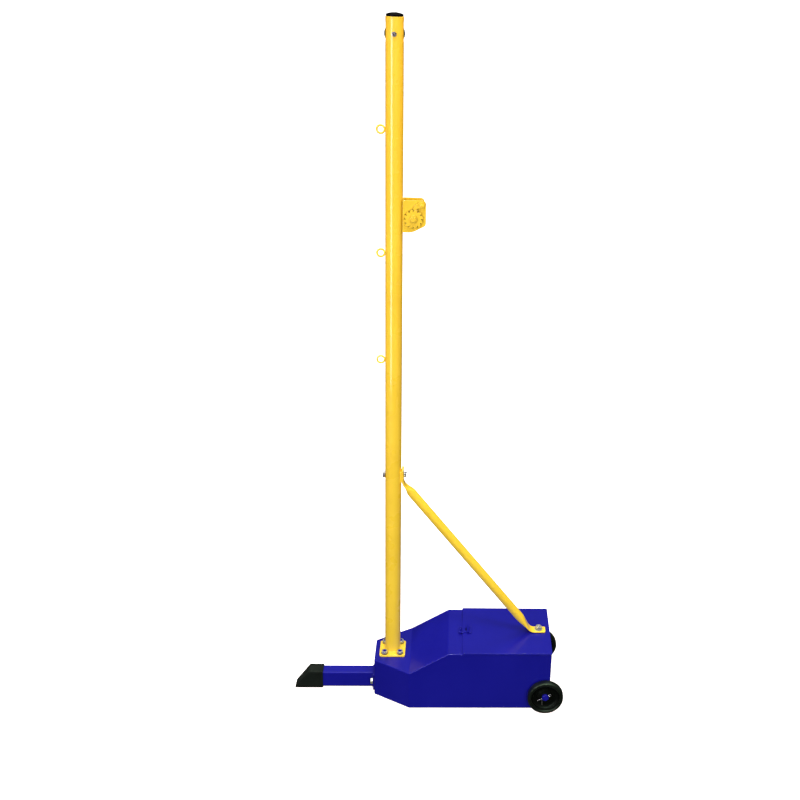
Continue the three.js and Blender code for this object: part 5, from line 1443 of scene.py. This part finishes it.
def makeLegFoot():
    low, high = reach("leg_foot")
    tubeLow, tubeHigh = reach("leg_tube")
    outline = [(low.x, low.z), (high.x, low.z), (high.x, high.z), (low.x + shoe["slope"], high.z)]
    obj = block("legFoot", outline, "y", low.y, high.y)
    eased(obj, shoe["ease"], shoe["easeSteps"], shoe["easeAngle"])
    room, beyond = shoe["room"], shoe["beyond"]
    centreZ = (tubeLow.z + tubeHigh.z) / 2
    socket = roundedRectangle(leg["width"] + 2 * room, leg["height"] + 2 * room, leg["corner"] + room, 0, centreZ)
    width, height, middleZ = high.y - low.y, high.z - low.z, (low.z + high.z) / 2
    grooves = []
    for x in (high.x - shoe["collar"], high.x - shoe["collar"] - shoe["grooveStep"]):
        outer = roundedRectangle(width + beyond, height + beyond, shoe["outerCorner"], 0, middleZ + shoe["outerRise"])
        inner = roundedRectangle(width - shoe["sideDepth"], height - shoe["topDepth"] + beyond, shoe["innerCorner"], 0,
                                 middleZ - shoe["innerDrop"])
        grooves.append(plate("groove", [outer, inner], "x", x, x + shoe["grooveWidth"], shoe["grooveEdge"], 1))
    combined(obj, [block("socket", socket, "x", tubeLow.x - room, high.x + shoe["overrun"]), *grooves])
    setPiece(obj, footRubber, "post", "black_rubber", "leg_foot", angle=34)


makeLeg()
makeLegFoot()
print("leg made")


wheel = {
    "tyreWall": 8.0, "shoulder": 3.4, "tyreSides": 128, "tyreEase": [1.0, 1.8, 2.6, 3.0, 2.0, 2.4, 1.6, 1.2, 1, 1],
    "hubInset": 0.6, "pinRoom": 1.8, "webThickness": 3.5, "webInset": 2.4, "hub": 18.0, "hubInner": 17.0,
    "bore": 8.3, "dish": 28.0, "noseFoot": 11.2, "nose": 10.4, "hubSides": 96,
    "hubEase": [0.3, 0.8, 1.0, 0.4, 0.4, 0.5, 1.6, 3, 1.6, 1.4, 1.4, 1.2, 0.6, 0.5, 0.3],
}


def makeWheels():
    axle = middle("wheel_axle")
    shoulder, bore, hub = wheel["shoulder"], wheel["bore"], wheel["hub"]
    for sign, side in ((-1, "front"), (1, "rear")):
        low, high = reach("wheel_" + side)
        radius = (high.x - low.x) / 2
        inner, outer = sorted((abs(low.y), abs(high.y)))
        rim = radius - wheel["tyreWall"]
        webStart = inner + wheel["webInset"]
        webEnd = webStart + wheel["webThickness"]
        hubStart, hubEnd = inner + wheel["hubInset"], abs(middle("split_pin_" + side).y) - wheel["pinRoom"]
        tyreProfile = [
            (rim, inner + 0.2), (radius - shoulder, inner), (radius, inner + shoulder),
            (radius, outer - 1.6 * shoulder), (radius - shoulder / 3, outer - shoulder / 2),
            (radius - shoulder, outer - shoulder / 8), (rim + 1.4, outer), (rim - 0.4, outer - 1.6),
            (rim - 0.8, outer - 4), (rim - 0.8, inner + 2)]
        hubProfile = [
            (bore, hubStart), (wheel["hubInner"], hubStart), (wheel["hubInner"] + 1.2, webStart),
            (rim - 1.4, webStart), (rim - 0.8, webStart + 0.8), (rim - 0.8, webEnd + 5.5), (rim - 2.4, webEnd + 5.5),
            (wheel["dish"], webEnd + 0.4), (hub + 2.6, webEnd), (hub, webEnd + 1.4), (hub - 1.2, hubEnd - 2.6),
            (hub - 3.4, hubEnd - 1.3), (wheel["noseFoot"], hubEnd - 1.2), (wheel["nose"], hubEnd), (bore, hubEnd)]
        for name, profile, easing, steps, sides, material, angle in (
                ("tyre", tyreProfile, wheel["tyreEase"], 6, wheel["tyreSides"], tyreRubber, 45),
                ("hub", hubProfile, wheel["hubEase"], 5, wheel["hubSides"], hubPlastic, 40)):
            profile = [(r, sign * y) for r, y in softCorners(profile, easing, steps)]
            obj = turned(name + side.capitalize(), profile, "y", (axle.x, 0, axle.z), sides, closed=True)
            setPiece(obj, material, side + "_wheel", "black_plastic", "wheel_" + side, angle=angle)


axleFit = {"radius": 8.0, "chamfer": 1.3, "ease": 0.4, "collar": 12.0, "gap": 0.3, "pinHole": 1.8, "pinReach": 14.0}
splitPin = {
    "wire": 0.85, "halfGap": 0.82, "eye": 2.7, "eyeNeck": 1.0, "eyeStart": 158, "eyeStep": 12, "ease": 0.8,
    "tilt": 30.0,
    "upper": [(-12.0, 1.6), (-6, 1.0)], "lower": [(-1.6, -1.4), (-2.6, -3.4), (-5.2, -8.8), (-7.8, -14.6)],
    "upperBend": 1.5, "lowerBend": 0.4, "eyeSide": 0.5,
}


def makeAxle():
    low, high = reach("wheel_axle")
    centre = (low + high) / 2
    axis = (centre.x, 0, centre.z)
    radius, chamfer = axleFit["radius"], axleFit["chamfer"]
    profile = [(0, low.y), (radius - chamfer, low.y), (radius, low.y + chamfer), (radius, high.y - chamfer),
               (radius - chamfer, high.y), (0, high.y)]
    obj = lathed("wheelAxle", profile, [0] + [axleFit["ease"]] * 4 + [0], "y", axis)
    pins = [(centre.x, middle("split_pin_" + side).y, centre.z) for side in ("front", "rear")]
    way = corners(0, -axleFit["pinReach"], axleFit["pinHole"], axleFit["pinReach"])
    combined(obj, [placed(turned("way", way, "x", sides=20), pin, (-splitPin["tilt"], "Y")) for pin in pins])
    setPiece(obj, bluePaint, "post", "blue_paint", "wheel_axle")
    bore = radius + axleFit["gap"]
    for side in ("front", "rear"):
        low, high = reach("axle_collar_" + side)
        collar = ringed("axleCollar" + side.capitalize(), axleFit["collar"], bore, low.y, high.y, "y", axis)
        setPiece(collar, bluePaint, "post", "blue_paint", "axle_collar_" + side)
    for side, pin in zip(("front", "rear"), pins):
        makeSplitPin("splitPin" + side.capitalize(), pin, bore, "split_pin_" + side)


def makeSplitPin(name, pin, grip, nodeName):
    wireRadius, eye = splitPin["wire"], splitPin["eye"]
    gapHalf = wireRadius * splitPin["halfGap"]
    eyeX = grip + eye + splitPin["eyeNeck"]
    arc = range(splitPin["eyeStart"], -splitPin["eyeStart"] - 1, -splitPin["eyeStep"])
    loop = [(eyeX + eye * math.cos(math.radians(a)), eye * math.sin(math.radians(a))) for a in arc]
    neck = grip - splitPin["eyeSide"]
    upper = [(-grip + u, v) for u, v in splitPin["upper"]]
    upper += [(-grip - splitPin["upperBend"], gapHalf), (neck, gapHalf)]
    lower = [(neck, -gapHalf), (-grip - splitPin["lowerBend"], -gapHalf)]
    lower += [(-grip + u, v) for u, v in splitPin["lower"]]
    path = softCorners(upper + loop + lower, splitPin["ease"], 3, closed=False)
    there = placing(pin, (-splitPin["tilt"], "Y"))
    obj = wire(name, [there @ Vector((u, 0, v)) for u, v in path], wireRadius)
    setPiece(obj, zinc, "post", "zinc", nodeName, angle=50)


makeWheels()
makeAxle()
print("wheels and axle made")


studio = {
    "floorColour": (0.96, 0.96, 0.96), "floorSize": 90.0, "floorGlow": 0.8, "floorShade": 0.9, "floorScale": 1.3,
    "floorDim": 0.985, "floorRough": 0.75, "floorSpecular": 0.15,
    "backdrop": 1.0, "zenith": 1.5, "horizon": 0.04, "clear": 0.45, "below": 0.07,
}
# places and aims are in metres from the mast's foot
lamps = {
    "strip": {"place": (-0.76, -1.176, 1.00), "aim": 0.90, "size": (0.40, 1.60), "power": 15.0,
              "colour": (1.0, 0.84, 0.98)},
    "key": {"place": (0.3, -2.4, 8.4), "aim": 0.4, "size": (1.6, 1.6), "power": 238.0, "colour": (1.0, 0.99, 0.97)},
    "fill": {"place": (1.9, -4.9, 2.0), "aim": 0.9, "size": (2.6, 2.6), "power": 108.0, "colour": (1.0, 0.98, 0.95)},
    "back": {"place": (1.6, 3.6, 6.0), "aim": 0.6, "size": (2.4, 2.4), "power": 100.0, "colour": (1.0, 0.99, 0.97)},
    "leftRim": {"place": (-1.3, -0.1, 1.9), "aim": 1.4, "size": (0.6, 0.9), "power": 8.5, "colour": (1.0, 0.40, 0.10)},
    "rightRim": {"place": (1.2, -0.35, 1.9), "aim": 1.4, "size": (0.6, 0.9), "power": 12.0,
                 "colour": (1.0, 0.50, 0.12)},
}


def makeFloor():
    size = studio["floorSize"] / 2
    mesh = bpy.data.meshes.new("studioFloor")
    mesh.from_pydata([(u, v, 0) for u, v in corners(-size, -size, size, size)], [], [[0, 1, 2, 3]])
    floor = addObject("studioFloor", mesh)
    floor.visible_diffuse = False  # a white floor in the picture, without its glare on the paint
    floor.visible_glossy = False
    material, tree, shader, place = startMaterial("pale_floor")
    tone = spread(tree, noise(tree, place, studio["floorScale"], 2), studio["floorDim"], 1.0)
    pale = studio["floorColour"]
    colour = mixColour(tree, tone, tuple(studio["floorShade"] * value for value in pale), pale)
    tree.links.new(colour, shader.inputs["Base Color"])
    shader.inputs["Roughness"].default_value = studio["floorRough"]
    shader.inputs["Specular IOR Level"].default_value = studio["floorSpecular"]
    shader.inputs["Emission Color"].default_value = (1, 1, 1, 1)
    shader.inputs["Emission Strength"].default_value = studio["floorGlow"]
    mesh.materials.append(material)


def makeLights():
    for name, lamp in lamps.items():
        data = bpy.data.lights.new(name, "AREA")
        data.shape = "RECTANGLE"
        data.size, data.size_y = lamp["size"]
        data.energy = lamp["power"]
        data.color = lamp["colour"]
        data.use_shadow = name not in ("leftRim", "rightRim")
        obj = addObject(name, data)
        obj.location = mastAxis + Vector(lamp["place"])
        heading = mastAxis + Vector((0, 0, lamp["aim"])) - obj.location
        obj.rotation_euler = heading.to_track_quat("-Z", "Y").to_euler()
        obj.visible_camera = False
        obj.visible_glossy = name in ("strip", "key")


def makeWorld():
    world = bpy.data.worlds.new("studio")
    scene.world = world
    world.use_nodes = True
    tree = world.node_tree
    background = tree.nodes["Background"]
    heading = node(tree, "ShaderNodeTexCoord").outputs["Generated"]
    height = node(tree, "ShaderNodeSeparateXYZ", {0: heading}).outputs["Z"]
    ramp = node(tree, "ShaderNodeMapRange", {
        "Value": height, "From Min": studio["clear"], "From Max": 1.0, "To Min": studio["horizon"],
        "To Max": studio["zenith"]}, interpolation_type="SMOOTHSTEP").outputs[0]
    under = arithmetic(tree, "LESS_THAN", height, 0.0)
    glow = node(tree, "ShaderNodeMix", {0: under, 2: ramp, 3: studio["below"]}, data_type="FLOAT").outputs[0]
    seen = node(tree, "ShaderNodeLightPath").outputs["Is Camera Ray"]
    level = node(tree, "ShaderNodeMix", {0: seen, 2: glow, 3: studio["backdrop"]}, data_type="FLOAT").outputs[0]
    tree.links.new(level, background.inputs["Strength"])
    background.inputs["Color"].default_value = (1, 1, 1, 1)
    scene.view_settings.view_transform = "Standard"
    scene.view_settings.look = "None"


# the place is in millimetres, the offset is how far the lens is shifted in the photograph's pixels
cameraView = {
    "focalPixels": 1118.317, "place": (126.268, -2259.490, 1693.307), "pitch": -0.3612, "yaw": -0.0739,
    "roll": 0.0491, "offset": (130, -38), "framePixels": 800, "sensor": 36.0, "clipStart": 0.05, "clipEnd": 200,
}


def makeCamera():
    yaw, pitch, roll = cameraView["yaw"], cameraView["pitch"], cameraView["roll"]
    forward = Vector((-math.sin(yaw) * math.cos(pitch), math.cos(yaw) * math.cos(pitch), math.sin(pitch)))
    right = Vector((math.cos(yaw), math.sin(yaw), 0))
    up = right.cross(forward)
    turnedRight = right * math.cos(roll) + up * math.sin(roll)
    turnedUp = up * math.cos(roll) - right * math.sin(roll)
    data = bpy.data.cameras.new("camera")
    data.sensor_width = cameraView["sensor"]
    data.lens = cameraView["focalPixels"] / cameraView["framePixels"] * cameraView["sensor"]
    data.shift_x = -cameraView["offset"][0] / cameraView["framePixels"]
    data.shift_y = cameraView["offset"][1] / cameraView["framePixels"]
    data.clip_start, data.clip_end = cameraView["clipStart"], cameraView["clipEnd"]
    camera = addObject("camera", data)
    pose = Matrix((turnedRight, turnedUp, -forward)).transposed().to_4x4()
    camera.matrix_world = Matrix.Translation(toFrame @ Vector(cameraView["place"])) @ pose
    scene.camera = camera


makeFloor()
makeLights()
makeWorld()
makeCamera()
print("studio made")
